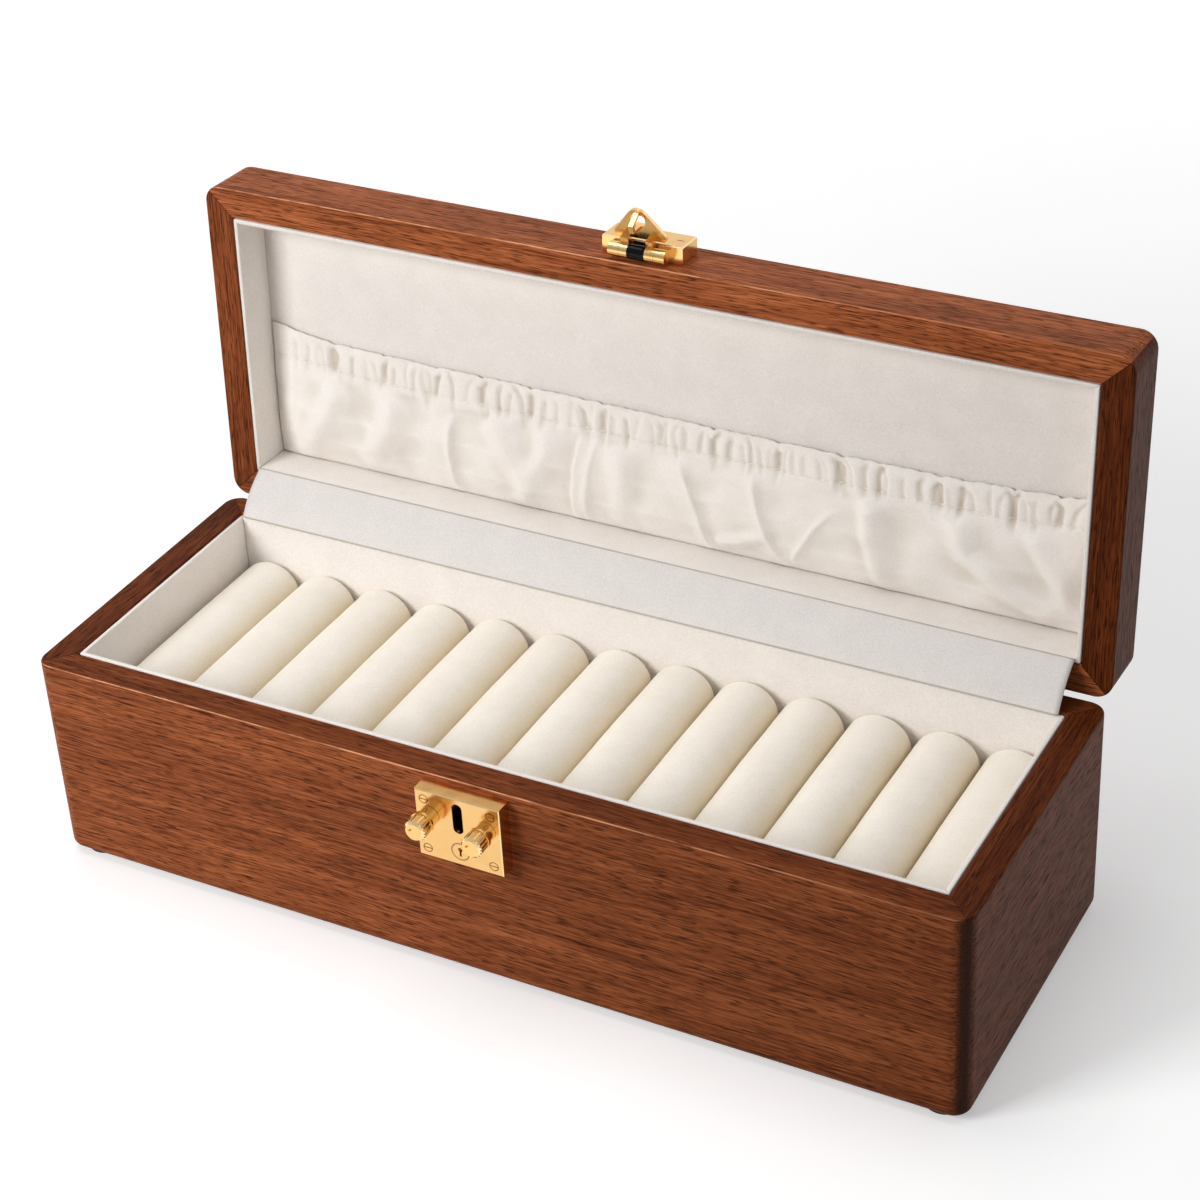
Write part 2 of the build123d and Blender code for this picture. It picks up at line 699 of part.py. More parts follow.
with BuildPart() as knob_blank:
    with BuildSketch(Plane.XZ):
        with BuildLine():
            Polyline(
                (0, -shaft_length),
                (knob_shaft_radius, -shaft_length),
                (knob_shaft_radius, knob_standoff),
                (knob_neck_radius, knob_standoff),
                (knob_neck_radius, ring_start),
                (knob_ring_radius, ring_start),
                (knob_ring_radius, ring_end),
                (knob_head_radius, ring_end),
                (knob_head_radius, head_end - knob_head_radius + knob_face_radius),
                (knob_face_radius, head_end),
                (0, head_end),
                close=True,
            )
        make_face()
    revolve(axis=Axis.Z)
    with BuildSketch(Plane.XY.offset(ring_end)):
        with PolarLocations(knob_head_radius, knob_flutes):
            Circle(knob_flute_radius)
    extrude(amount=knob_head_length, mode=Mode.SUBTRACT)
    with BuildSketch(Plane.XY.offset(head_end)):
        with Locations(Location((0, 0), pointer_angle)):
            with Locations((0, pointer_offset)):
                Rectangle(pointer_length, pointer_width)
    extrude(amount=-pointer_depth, mode=Mode.SUBTRACT)

for side, direction in (("left", -1), ("right", 1)):
    knob_place = lock_front * Pos(direction * knob_spacing / 2, knob_z, 0)
    save(knob_blank.part.moved(knob_place), f"knob_{side}")
    rest_angle = 90 + direction * (90 - cam_locked_angle + cam_turn)
    with BuildPart() as cam:
        with BuildSketch(lock_front.offset(-cam_start)):
            with Locations(Location((direction * knob_spacing / 2, knob_z), rest_angle)):
                Circle(cam_hub_radius)
                with Locations(((cam_reach - cam_arm_width / 2) / 2, 0)):
                    Rectangle(cam_reach - cam_arm_width / 2, cam_arm_width)
                with Locations((cam_reach - cam_arm_width / 2, 0)):
                    Circle(cam_arm_width / 2)
                Circle(knob_shaft_radius + press_fit, mode=Mode.SUBTRACT)
        extrude(amount=-cam_thickness)
    save(cam.part, f"cam_{side}")

# Hasp block: screwed to the lid's front rail, with the two outer knuckles of the hasp under it
barrel_start = -hasp_barrel_length / 2
barrel_end = hasp_barrel_length / 2
with BuildPart() as hasp_block:
    with BuildSketch(wood_front):
        with Locations((0, block_centre_z)):
            Rectangle(block_width, block_height)
    extrude(amount=block_proud)
    chamfer(hasp_block.faces().sort_by(Axis.Y)[0].edges(), block_edge)
    for start in (barrel_start, barrel_end - outer_knuckle):
        with BuildSketch(Plane.YZ.offset(start)):
            with Locations((hasp_axis_y, hasp_axis_z)):
                Circle(hasp_barrel_radius)
            with Locations((hasp_axis_y, hasp_axis_z + hasp_axis_drop / 2)):
                Rectangle(2 * knuckle_web, hasp_axis_drop)
        extrude(amount=outer_knuckle)
    with BuildSketch(Plane.YZ.offset(barrel_start)):
        with Locations((hasp_axis_y, hasp_axis_z)):
            Circle(hasp_pin_radius + press_fit)
    extrude(amount=hasp_barrel_length, mode=Mode.SUBTRACT)
    with Locations(block_front):
        with Locations(*block_screw_places):
            add(block_screw_hole, mode=Mode.SUBTRACT)
save(hasp_block.part.moved(lid_swing), "hasp_block")

with BuildPart() as hasp_block_screws:
    with Locations(block_front):
        with Locations(*block_screw_places):
            add(block_screw)
save(hasp_block_screws.part.moved(lid_swing), "hasp_block_screws")

# Barrel of the hasp along its pin: left eye, black sleeve, right eye and washer
left_eye_start = barrel_start + outer_knuckle + hasp_side_gap
washer_start = barrel_end - outer_knuckle - hasp_side_gap - washer_thickness
right_eye_start = washer_start - hasp_side_gap - right_eye_width
sleeve_start = left_eye_start + left_eye_width + hasp_side_gap
sleeve_length = right_eye_start - hasp_side_gap - sleeve_start


def on_hasp_axis(start, length, radius, bore_radius=0):
    """Return a plain ring on the hasp's axis, or a rod when it has no bore."""
    with BuildPart() as ring:
        with BuildSketch(Plane.YZ.offset(start)):
            with Locations((hasp_axis_y, hasp_axis_z)):
                Circle(radius)
                if bore_radius:
                    Circle(bore_radius, mode=Mode.SUBTRACT)
        extrude(amount=length)
    return ring.part


tight_bore = hasp_pin_radius + press_fit
pin_length = hasp_barrel_length - 2 * hasp_side_gap
hasp_pin = on_hasp_axis(barrel_start + hasp_side_gap, pin_length, hasp_pin_radius)
hasp_sleeve = on_hasp_axis(sleeve_start, sleeve_length, sleeve_radius, tight_bore)
hasp_washer = on_hasp_axis(washer_start, washer_thickness, hasp_barrel_radius, tight_bore)
save(hasp_pin.moved(lid_swing), "hasp_pin")
save(hasp_sleeve.moved(lid_swing), "hasp_sleeve")
save(hasp_washer.moved(lid_swing), "hasp_washer")

# Hasp, drawn standing straight out: eyes and necks, rounded plate with a hole, and an open staple.
# Its side view runs outwards from the pin and, downwards, to the side that meets the lock.
hasp_side = Plane(origin=(0, hasp_axis_y, hasp_axis_z), x_dir=(0, -1, 0), z_dir=(1, 0, 0))
hasp_face = Plane(origin=(0, hasp_axis_y, hasp_axis_z), x_dir=(1, 0, 0), z_dir=(0, 0, -1))
staple_tip = staple_depth - plate_inner
tip_low = staple_middle - staple_tip_width / 2
tip_high = staple_middle + staple_tip_width / 2
window_start = staple_start + window_wall
window_end = staple_end - window_wall
with BuildPart() as hasp:
    with BuildSketch(hasp_face.offset(-plate_outer)):
        with Locations((0, plate_reach - plate_tip_radius)):
            Circle(plate_tip_radius)
        corner_x = plate_width / 2 - plate_corner_radius
        corner_y = plate_start + plate_corner_radius
        with Locations((-corner_x, corner_y), (corner_x, corner_y)):
            Circle(plate_corner_radius)
        make_hull()
    extrude(amount=plate_thickness)
    chamfer(hasp.faces().sort_by(Axis.Z)[-1].edges(), plate_edge)
    with BuildSketch(hasp_face.offset(-plate_outer)):
        with Locations((0, staple_middle)):
            RectangleRounded(plate_hole_width, window_end - window_start, plate_hole_radius)
    extrude(amount=plate_thickness, mode=Mode.SUBTRACT)
    for start, width in ((left_eye_start, left_eye_width), (right_eye_start, right_eye_width)):
        with BuildSketch(hasp_side.offset(start)):
            Circle(hasp_barrel_radius)
            with BuildLine():
                Polyline(
                    (0, -hasp_barrel_radius),
                    (plate_start, -hasp_barrel_radius),
                    (plate_start, -plate_outer + plate_edge),
                    (neck_reach, -plate_outer + plate_edge),
                    (neck_reach, -neck_side),
                    (0, -neck_side),
                    close=True,
                )
            make_face()
        extrude(amount=width)
    with BuildSketch(hasp_side.offset(-staple_width / 2)):
        with BuildLine():
            Polyline(
                (staple_start, -plate_inner - plate_thickness / 2),
                (staple_start, -plate_inner),
                (tip_low, staple_tip),
                (tip_high, staple_tip),
                (staple_end, -plate_inner),
                (staple_end, -plate_inner - plate_thickness / 2),
                (window_end, -plate_inner - plate_thickness / 2),
                (window_end, -plate_inner),
                (tip_high - window_side_wall, staple_tip - window_tip_wall),
                (tip_low + window_side_wall, staple_tip - window_tip_wall),
                (window_start, -plate_inner),
                (window_start, -plate_inner - plate_thickness / 2),
                close=True,
            )
        make_face()
    extrude(amount=staple_width)
    with BuildSketch(hasp_side.offset(barrel_start)):
        Circle(hasp_pin_radius + running_fit)
    extrude(amount=hasp_barrel_length, mode=Mode.SUBTRACT)
# At rest the hasp leans a little way from straight out towards the lock
hasp_pivot = Pos(0, hasp_axis_y, hasp_axis_z)
hasp_swing = hasp_pivot * Rot(X=hasp_rest_swing) * hasp_pivot.inverse()
save(hasp.part.moved(lid_swing * hasp_swing), "hasp")
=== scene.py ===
import json
from math import cos, pi, radians, sin
from random import Random

import bmesh
import bpy
import numpy as np
from mathutils import Matrix, Vector


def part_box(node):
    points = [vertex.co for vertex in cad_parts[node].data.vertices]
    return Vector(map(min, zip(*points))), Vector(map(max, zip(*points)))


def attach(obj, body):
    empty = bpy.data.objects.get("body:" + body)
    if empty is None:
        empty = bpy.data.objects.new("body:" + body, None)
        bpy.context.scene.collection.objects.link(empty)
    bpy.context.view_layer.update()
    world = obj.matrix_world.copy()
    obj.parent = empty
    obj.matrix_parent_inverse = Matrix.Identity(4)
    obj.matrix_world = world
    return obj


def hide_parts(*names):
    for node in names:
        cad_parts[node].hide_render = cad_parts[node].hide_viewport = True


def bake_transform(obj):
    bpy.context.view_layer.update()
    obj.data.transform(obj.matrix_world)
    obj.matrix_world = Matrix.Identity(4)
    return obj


# The looks of an open wooden bangle box: oiled wood, ivory suede, a gathered pocket and brass fittings.
# Lengths are in metres unless a name ends in _MM. X runs along the box, -Y is the front and Z is up.

MM = 0.001

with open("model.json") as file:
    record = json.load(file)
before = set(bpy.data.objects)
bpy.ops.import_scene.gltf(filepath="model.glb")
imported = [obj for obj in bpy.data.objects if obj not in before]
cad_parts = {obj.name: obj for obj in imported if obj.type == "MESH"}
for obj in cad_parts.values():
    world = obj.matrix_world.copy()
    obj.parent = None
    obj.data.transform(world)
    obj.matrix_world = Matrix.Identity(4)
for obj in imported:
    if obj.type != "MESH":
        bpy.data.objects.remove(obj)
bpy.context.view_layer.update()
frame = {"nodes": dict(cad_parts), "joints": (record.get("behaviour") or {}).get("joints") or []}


# Places that the frame gives
hinge = next(joint for joint in frame["joints"] if joint["name"] == "lid_hinge")
lid_angle = radians(hinge["range_deg"][1])
hinge_point = Vector(hinge["pos_m"])
to_hinge = Matrix.Translation(hinge_point)
lid_swing = to_hinge @ Matrix.Rotation(-lid_angle, 4, "X") @ to_hinge.inverted()
lid_unswing = lid_swing.inverted()


def shut_box(node):
    """Return the lowest and highest corners of a lid piece, measured with the lid shut."""
    points = np.array([lid_unswing @ vertex.co for vertex in frame["nodes"][node].data.vertices])
    return points.min(0), points.max(0)


# Helpers for pieces
def add_piece(name, mesh, material, body):
    """Put a finished mesh in the scene, smooth it, and let it ride on a body."""
    piece = bpy.data.objects.new(name, mesh)
    bpy.context.scene.collection.objects.link(piece)
    mesh.materials.clear()
    mesh.materials.append(material)
    mesh.shade_smooth()
    if body:
        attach(piece, body)
    return piece


def grid_mesh(name, points, closed_columns=False):
    """Make a mesh from a grid of points, as rows of columns, joined into quads."""
    rows, columns = points.shape[:2]
    faces = []
    for row in range(rows - 1):
        next_row = row + 1
        for column in range(columns if closed_columns else columns - 1):
            next_column = (column + 1) % columns
            faces.append(
                (
                    row * columns + column,
                    row * columns + next_column,
                    next_row * columns + next_column,
                    next_row * columns + column,
                )
            )
    mesh = bpy.data.meshes.new(name)
    mesh.from_pydata(points.reshape(-1, 3).tolist(), [], faces)
    mesh.update()
    return mesh


def apply_modifiers(piece):
    """Turn what a piece's modifiers show into its own mesh."""
    graph = bpy.context.evaluated_depsgraph_get()
    shown = bpy.data.meshes.new_from_object(piece.evaluated_get(graph))
    piece.modifiers.clear()
    old = piece.data
    piece.data = shown
    bpy.data.meshes.remove(old)


def wrapped_board(node, body, material, radius):
    """Replace a board of the lining by one with the soft edges of suede wrapped round card."""
    mesh = frame["nodes"][node].data.copy()
    work = bmesh.new()
    work.from_mesh(mesh)
    bmesh.ops.remove_doubles(work, verts=work.verts, dist=0.001 * MM)
    bmesh.ops.dissolve_limit(work, angle_limit=radians(1), verts=work.verts, edges=work.edges)
    sharp = [edge for edge in work.edges if edge.calc_face_angle(0) > radians(30)]
    bmesh.ops.bevel(work, geom=sharp, offset=radius, segments=3, profile=0.5, affect="EDGES")
    work.to_mesh(mesh)
    work.free()
    piece = add_piece(f"suede_{node}", mesh, material, body)
    mesh.set_sharp_from_angle(angle=radians(40))
    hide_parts(node)
    return piece


# Helpers for materials
def tone(red, green, blue):
    """Turn a colour as a screen shows it, 0 to 255, into the linear colour that a shader takes."""
    linear = [
        value / 12.92 if value <= 0.04045 else ((value + 0.055) / 1.055) ** 2.4
        for value in (red / 255, green / 255, blue / 255)
    ]
    return (*linear, 1.0)


def add_node(tree, kind, inputs=None, **settings):
    """Add a shader node, with its settings, and with its inputs as values or as links."""
    node = tree.nodes.new(kind)
    for name, value in settings.items():
        setattr(node, name, value)
    for name, value in (inputs or {}).items():
        if isinstance(value, bpy.types.NodeSocket):
            tree.links.new(value, node.inputs[name])
        else:
            node.inputs[name].default_value = value
    return node


def new_material(name, **values):
    """Start a material, with plain values on its shader's own sockets."""
    made = bpy.data.materials.new(name)
    made.use_nodes = True
    shader = made.node_tree.nodes["Principled BSDF"]
    for socket, value in values.items():
        shader.inputs[socket.replace("_", " ")].default_value = value
    return made, made.node_tree, shader


def moved_place(tree, location=(0, 0, 0), rotation=(0, 0, 0), scale=(1, 1, 1), place=None):
    """Return the object's own coordinates, or a given place, after a scale, a turn and a shift."""
    if place is None:
        place = add_node(tree, "ShaderNodeTexCoord").outputs["Object"]
    inputs = {"Vector": place, "Location": location, "Rotation": rotation, "Scale": scale}
    return add_node(tree, "ShaderNodeMapping", inputs).outputs["Vector"]


def noise(tree, place, scale=1.0, detail=2.0, roughness=0.5, distortion=0.0):
    """Return the height of a noise texture."""
    inputs = {
        "Vector": place,
        "Scale": scale,
        "Detail": detail,
        "Roughness": roughness,
        "Distortion": distortion,
    }
    return add_node(tree, "ShaderNodeTexNoise", inputs).outputs["Fac"]


def ramp(tree, height, stops, kind="LINEAR"):
    """Return a colour that follows a height through stops of (position, colour)."""
    node = add_node(tree, "ShaderNodeValToRGB", {"Fac": height})
    node.color_ramp.interpolation = kind
    elements = node.color_ramp.elements
    while len(elements) < len(stops):
        elements.new(0.5)
    for element, (position, colour) in zip(elements, stops):
        element.position = position
        element.color = colour
    return node.outputs["Color"]


def mix(tree, share, first, second, kind="MIX"):
    """Return two colours mixed, multiplied or the like, by a share."""
    inputs = {"Fac": share, "Color1": first, "Color2": second}
    return add_node(tree, "ShaderNodeMixRGB", inputs, blend_type=kind).outputs["Color"]


def spread(tree, height, low, high, new_low, new_high):
    """Return a height carried from one range to another, and held inside it."""
    inputs = {
        "Value": height,
        "From Min": low,
        "From Max": high,
        "To Min": new_low,
        "To Max": new_high,
    }
    return add_node(tree, "ShaderNodeMapRange", inputs).outputs["Result"]


def maths(tree, kind, first, second):
    """Return two numbers added, multiplied, subtracted or compared."""
    return add_node(tree, "ShaderNodeMath", {0: first, 1: second}, operation=kind).outputs["Value"]


def bump(tree, height, distance, strength=1.0):
    """Return a normal raised by a height of 0 to 1 times a distance."""
    inputs = {"Height": height, "Distance": distance, "Strength": strength}
    return add_node(tree, "ShaderNodeBump", inputs).outputs["Normal"]


# Materials
WOOD_LIGHT = tone(189, 110, 67)
WOOD_MID = tone(154, 84, 48)
WOOD_DARK = tone(110, 54, 28)
WOOD_PORE = tone(52, 25, 14)
# Painted highlight along the front outer arris, where the rounded edge catches the lamp
WOOD_ARRIS_HIGHLIGHT = tone(228, 164, 124)
# Painted shade down the rounded front right corner of the base
CORNER_PAINTED_SHADE = tone(40, 22, 14)
ALONG_X = (0, 0, 0)
ALONG_Y = (0, 0, radians(-90))
BAND_SCALE = (6, 130, 130)
STREAK_SCALE = (26, 1250, 1250)
FIBRE_SCALE = (60, 2000, 2000)
PORE_SCALE = (160, 2500, 2500)
HALF_LENGTH = 165 * MM
HALF_DEPTH = 59 * MM
# Painted shade on the up-facing rims, which take less light than the fronts
RIM_PAINTED_SHADE = (0.56, 0.5, 0.42, 1.0)
# Painted shade that darkens the base towards its right end, away from the key lamp
RIGHT_PAINTED_SHADE = (0.64, 0.62, 0.58, 1.0)
BAND_WEIGHT = 0.26
STREAK_WEIGHT = 0.42
FIBRE_WEIGHT = 0.32
WAVER_DEPTH = 5 * MM
ARRIS_HIGHLIGHT_BOARDS = ("wood_base_front_board", "wood_lid_front_rail")


def shut_place(tree, body):
    """Return a board's coordinates and the way it faces, both with the box shut."""
    facing = add_node(tree, "ShaderNodeTexCoord").outputs["Normal"]
    if body == "base":
        return moved_place(tree), facing
    shift = lid_unswing.translation
    place = moved_place(tree, location=tuple(shift), rotation=(lid_angle, 0, 0))
    return place, moved_place(tree, rotation=(lid_angle, 0, 0), place=facing)


def wood_marks(tree, place, facing, body):
    """Return the shares of painted arris highlight, mitre line, painted corner shade, rim and painted shade
    on the right end at a point.
    """
    x, y, _ = add_node(tree, "ShaderNodeSeparateXYZ", {0: place}).outputs
    to_right, to_back, to_rim = add_node(tree, "ShaderNodeSeparateXYZ", {0: facing}).outputs
    to_front = maths(tree, "MULTIPLY", to_back, -1.0)
    if body == "lid":
        to_rim = maths(tree, "MULTIPLY", to_rim, -1.0)
    rim_share = spread(tree, to_rim, 0.55, 0.8, 0.0, 1.0)
    from_end = maths(tree, "SUBTRACT", HALF_LENGTH, maths(tree, "ABSOLUTE", x, 0.0))
    from_face = maths(tree, "SUBTRACT", HALF_DEPTH, maths(tree, "ABSOLUTE", y, 0.0))
    mitre = maths(tree, "ABSOLUTE", maths(tree, "SUBTRACT", from_end, from_face), 0.0)
    mitre_share = spread(tree, mitre, 0.1 * MM, 0.35 * MM, 0.85, 0.0)
    mitre_share = maths(tree, "MULTIPLY", mitre_share, rim_share)
    # The painted arris highlight is broken up by noise and fades towards the right, away from the lamp
    patchiness = noise(tree, moved_place(tree, scale=(60, 60, 60), place=place), detail=4.0, roughness=0.7)
    patchiness = spread(tree, patchiness, 0.4, 0.58, 0.2, 0.95)
    patchiness = maths(tree, "MULTIPLY", patchiness, spread(tree, x, 0.0, 0.14, 1.0, 0.25))
    arris_highlight_share = spread(tree, maths(tree, "MULTIPLY", to_front, to_rim), 0.4, 0.48, 0.0, 1.0)
    arris_highlight_share = maths(tree, "MULTIPLY", arris_highlight_share, patchiness)
    # Painted shade on the rounded front right corner, where the light falls off as it turns from the lamps
    round_share = spread(tree, to_right, 0.05, 0.6, 0.3, 0.85)
    round_share = maths(tree, "MULTIPLY", round_share, spread(tree, to_right, 0.85, 1.0, 1.0, 0.0))
    flat_share = spread(tree, x, HALF_LENGTH - 7 * MM, HALF_LENGTH - 2.5 * MM, 0.0, 0.3)
    corner_shade_share = spread(tree, x, HALF_LENGTH - 5 * MM, HALF_LENGTH - 3 * MM, 0.0, 1.0)
    corner_shade_share = maths(tree, "MULTIPLY", corner_shade_share, round_share)
    corner_shade_share = maths(tree, "MAXIMUM", corner_shade_share, flat_share)
    corner_shade_share = maths(tree, "MULTIPLY", corner_shade_share, spread(tree, to_front, 0.05, 0.25, 0.0, 1.0))
    # Painted shade towards the right end, away from the key lamp, weaker on the rims
    right_shade_share = spread(tree, x, -60 * MM, HALF_LENGTH, 0.0, 1.0)
    right_shade_share = maths(tree, "MULTIPLY", right_shade_share, spread(tree, rim_share, 0.0, 1.0, 1.0, 0.3))
    return arris_highlight_share, mitre_share, corner_shade_share, rim_share, right_shade_share


def wood(name, turn, offset, body, depth):
    """Make an oiled open-pored wood. The turn brings the grain of the board onto X."""
    made, tree, shader = new_material(name, Roughness=0.5, Specular_IOR_Level=0.05)
    shut, facing = shut_place(tree, body)
    place = moved_place(tree, rotation=turn, place=shut)
    place = moved_place(tree, location=offset, place=place)
    waver = noise(tree, moved_place(tree, scale=(9, 30, 30), place=place), detail=1.0)
    lifted = add_node(tree, "ShaderNodeCombineXYZ", {"Y": waver, "Z": waver}).outputs["Vector"]
    lifted = moved_place(tree, scale=(1, WAVER_DEPTH, WAVER_DEPTH), place=lifted)
    place = add_node(tree, "ShaderNodeVectorMath", {0: place, 1: lifted}, operation="ADD").outputs["Vector"]
    bands = noise(tree, moved_place(tree, scale=BAND_SCALE, place=place), detail=2.0, roughness=0.5)
    streaks = noise(tree, moved_place(tree, scale=STREAK_SCALE, place=place), detail=2.0, roughness=0.6)
    fibres = noise(tree, moved_place(tree, scale=FIBRE_SCALE, place=place), detail=2.0, roughness=0.6)
    pores = noise(tree, moved_place(tree, scale=PORE_SCALE, place=place), detail=1.0, roughness=0.5)
    figure = maths(tree, "MULTIPLY", bands, BAND_WEIGHT)
    figure = maths(tree, "ADD", figure, maths(tree, "MULTIPLY", streaks, STREAK_WEIGHT))
    figure = maths(tree, "ADD", figure, maths(tree, "MULTIPLY", fibres, FIBRE_WEIGHT))
    colour = ramp(tree, figure, [(0.38, WOOD_DARK), (0.5, WOOD_MID), (0.62, WOOD_LIGHT)])
    pore_share = spread(tree, pores, 0.54, 0.65, 0.0, 0.75)
    colour = mix(tree, pore_share, colour, WOOD_PORE)
    arris_highlight_share, mitre_share, corner_shade_share, rim_share, right_shade_share = wood_marks(tree, shut, facing, body)
    # Painted shade: the whole board is darkened by its depth, more in green and blue
    left = 1 - depth
    shade = (left, left**1.2, left**1.5, 1.0)
    colour = mix(tree, 1.0, colour, shade, "MULTIPLY")
    if body == "base":
        # Painted shade on the base: darker up-facing rims, a darker right end and a dark front right corner
        colour = mix(tree, rim_share, colour, RIM_PAINTED_SHADE, "MULTIPLY")
        colour = mix(tree, right_shade_share, colour, RIGHT_PAINTED_SHADE, "MULTIPLY")
        colour = mix(tree, corner_shade_share, colour, CORNER_PAINTED_SHADE)
    # Painted highlight along the outer arris of the front boards
    if name in ARRIS_HIGHLIGHT_BOARDS:
        colour = mix(tree, arris_highlight_share, colour, WOOD_ARRIS_HIGHLIGHT)
    colour = mix(tree, mitre_share, colour, WOOD_PORE)
    tree.links.new(colour, shader.inputs["Base Color"])
    tree.links.new(spread(tree, pores, 0.5, 0.7, 0.42, 0.65), shader.inputs["Roughness"])
    relief = maths(tree, "SUBTRACT", maths(tree, "MULTIPLY", fibres, 0.3), pore_share)
    tree.links.new(bump(tree, relief, 0.05 * MM, 0.5), shader.inputs["Normal"])
    return made


def suede(name, colour, shade, mottle=0.35, creases=None, warm_shade_between=None):
    """Make a short-napped suede, lighter where the nap is brushed up."""
    made, tree, shader = new_material(
        name, Roughness=0.95, Specular_IOR_Level=0.2, Sheen_Weight=0.12, Sheen_Roughness=0.6
    )
    place = add_node(tree, "ShaderNodeTexCoord").outputs["Object"]
    brushed = noise(tree, place, scale=90, detail=3.0, roughness=0.6)
    nap = noise(tree, place, scale=2000, detail=2.0, roughness=0.7)
    strands = noise(tree, moved_place(tree, scale=(1, 1, 0.5)), scale=3800, detail=1.0)
    share = maths(tree, "ADD", maths(tree, "MULTIPLY", brushed, mottle), maths(tree, "MULTIPLY", nap, 0.9))
    middle = 0.5 * (mottle + 0.9)
    base = mix(tree, spread(tree, share, middle - 0.16, middle + 0.16, 0.0, 1.0), shade, colour)
    # Painted shade read from a mesh attribute: in the pocket's creases and along the ribbon's edges
    if creases:
        depth = add_node(tree, "ShaderNodeAttribute", attribute_name=creases).outputs["Fac"]
        base = mix(tree, depth, base, PAINTED_SHADE_TINT, "MULTIPLY")
    # Warm painted shade low on a roll, fading out going up from the gaps between the rolls
    if warm_shade_between:
        height = add_node(tree, "ShaderNodeSeparateXYZ", {0: place}).outputs["Z"]
        base = mix(tree, spread(tree, height, *warm_shade_between, 1.0, 0.0), base, WARM_PAINTED_SHADE, "MULTIPLY")
    tree.links.new(base, shader.inputs["Base Color"])
    height = maths(tree, "ADD", nap, maths(tree, "MULTIPLY", strands, 0.5))
    tree.links.new(bump(tree, height, 0.12 * MM, 0.5), shader.inputs["Normal"])
    return made


def ring_share(tree, place, middle, spacing, radius):
    """Return 1 on the thin joint round a screw head or plug, seen from the front, where a gap shadow is
    painted, and 0 elsewhere.
    """
    x, _, z = add_node(tree, "ShaderNodeSeparateXYZ", {0: place}).outputs
    across = maths(tree, "ABSOLUTE", maths(tree, "SUBTRACT", x, middle[0]), 0.0)
    across = maths(tree, "SUBTRACT", across, spacing[0])
    up = maths(tree, "ABSOLUTE", maths(tree, "SUBTRACT", z, middle[1]), 0.0)
    up = maths(tree, "SUBTRACT", up, spacing[1])
    far = add_node(tree, "ShaderNodeCombineXYZ", {"X": across, "Y": up}).outputs["Vector"]
    far = add_node(tree, "ShaderNodeVectorMath", {0: far}, operation="LENGTH").outputs["Value"]
    off = maths(tree, "ABSOLUTE", maths(tree, "SUBTRACT", far, radius), 0.0)
    return spread(tree, off, 0.08 * MM, 0.25 * MM, 0.9, 0.0)


def edge_highlight_share(tree):
    """Return 1 on chamfers and rounded edges, where a highlight is painted, and 0 on flat sides."""
    facing = add_node(tree, "ShaderNodeTexCoord").outputs["Normal"]
    facing = add_node(tree, "ShaderNodeVectorMath", {0: facing}, operation="ABSOLUTE").outputs["Vector"]
    x, y, z = add_node(tree, "ShaderNodeSeparateXYZ", {0: facing}).outputs
    most = maths(tree, "MAXIMUM", maths(tree, "MAXIMUM", x, y), z)
    return spread(tree, most, 0.74, 0.88, 1.0, 0.0)


def metal(name, colour, dull, roughness, grain=(1200, 1200, 60), rings=()):
    """Make a satin metal with a fine brushed grain, faint clouding, painted shade in its corners and
    recesses and a painted highlight on its edges.
    """
    made, tree, shader = new_material(name, Metallic=1.0, Roughness=roughness)
    # Painted shade in corners, recesses and the gaps round screw heads and the key plug, from ambient
    # occlusion
    near = add_node(tree, "ShaderNodeAmbientOcclusion", {"Distance": 0.5 * MM}, samples=16).outputs["AO"]
    place = add_node(tree, "ShaderNodeTexCoord").outputs["Object"]
    clouds = noise(tree, place, scale=160, detail=2.0)
    brushing = noise(tree, moved_place(tree, scale=grain), detail=3.0, roughness=0.6)
    unshaded_share = spread(tree, near, 0.12, 0.45, 0.0, 1.0)
    for middle, spacing, radius in rings:
        ring = ring_share(tree, place, middle, spacing, radius)
        unshaded_share = maths(tree, "MULTIPLY", unshaded_share, maths(tree, "SUBTRACT", 1.0, ring))
    # Painted highlight on chamfers and rounded edges
    finish = mix(tree, edge_highlight_share(tree), mix(tree, clouds, dull, colour), EDGE_HIGHLIGHT)
    tree.links.new(mix(tree, unshaded_share, RECESS_PAINTED_SHADE, finish), shader.inputs["Base Color"])
    patchiness = maths(tree, "ADD", maths(tree, "MULTIPLY", clouds, 0.6), maths(tree, "MULTIPLY", brushing, 0.4))
    tree.links.new(
        spread(tree, patchiness, 0.3, 0.7, roughness - 0.04, roughness + 0.06), shader.inputs["Roughness"]
    )
    tree.links.new(bump(tree, brushing, 0.01 * MM, 0.12), shader.inputs["Normal"])
    return made


def moulded(name, colour, shade, roughness, grain_scale, specular=0.5):
    """Make a dark rubber or plastic with a fine surface grain."""
    made, tree, shader = new_material(name, Roughness=roughness, Specular_IOR_Level=specular)
    place = add_node(tree, "ShaderNodeTexCoord").outputs["Object"]
    grain = noise(tree, place, scale=grain_scale, detail=3.0)
    tree.links.new(mix(tree, grain, shade, colour), shader.inputs["Base Color"])
    tree.links.new(
        spread(tree, grain, 0.3, 0.7, roughness - 0.05, roughness + 0.08), shader.inputs["Roughness"]
    )
    tree.links.new(bump(tree, grain, 0.03 * MM, 0.4), shader.inputs["Normal"])
    return made


# Colour that multiplies the painted shade in the pocket's creases and along the ribbon's edges
PAINTED_SHADE_TINT = (0.62, 0.56, 0.48, 1.0)
# Warm painted shade low on the rolls, in the gaps between them
WARM_PAINTED_SHADE = (0.84, 0.75, 0.56, 1.0)
# Painted shade in the brass's corners, recesses and joints
RECESS_PAINTED_SHADE = tone(110, 60, 20)
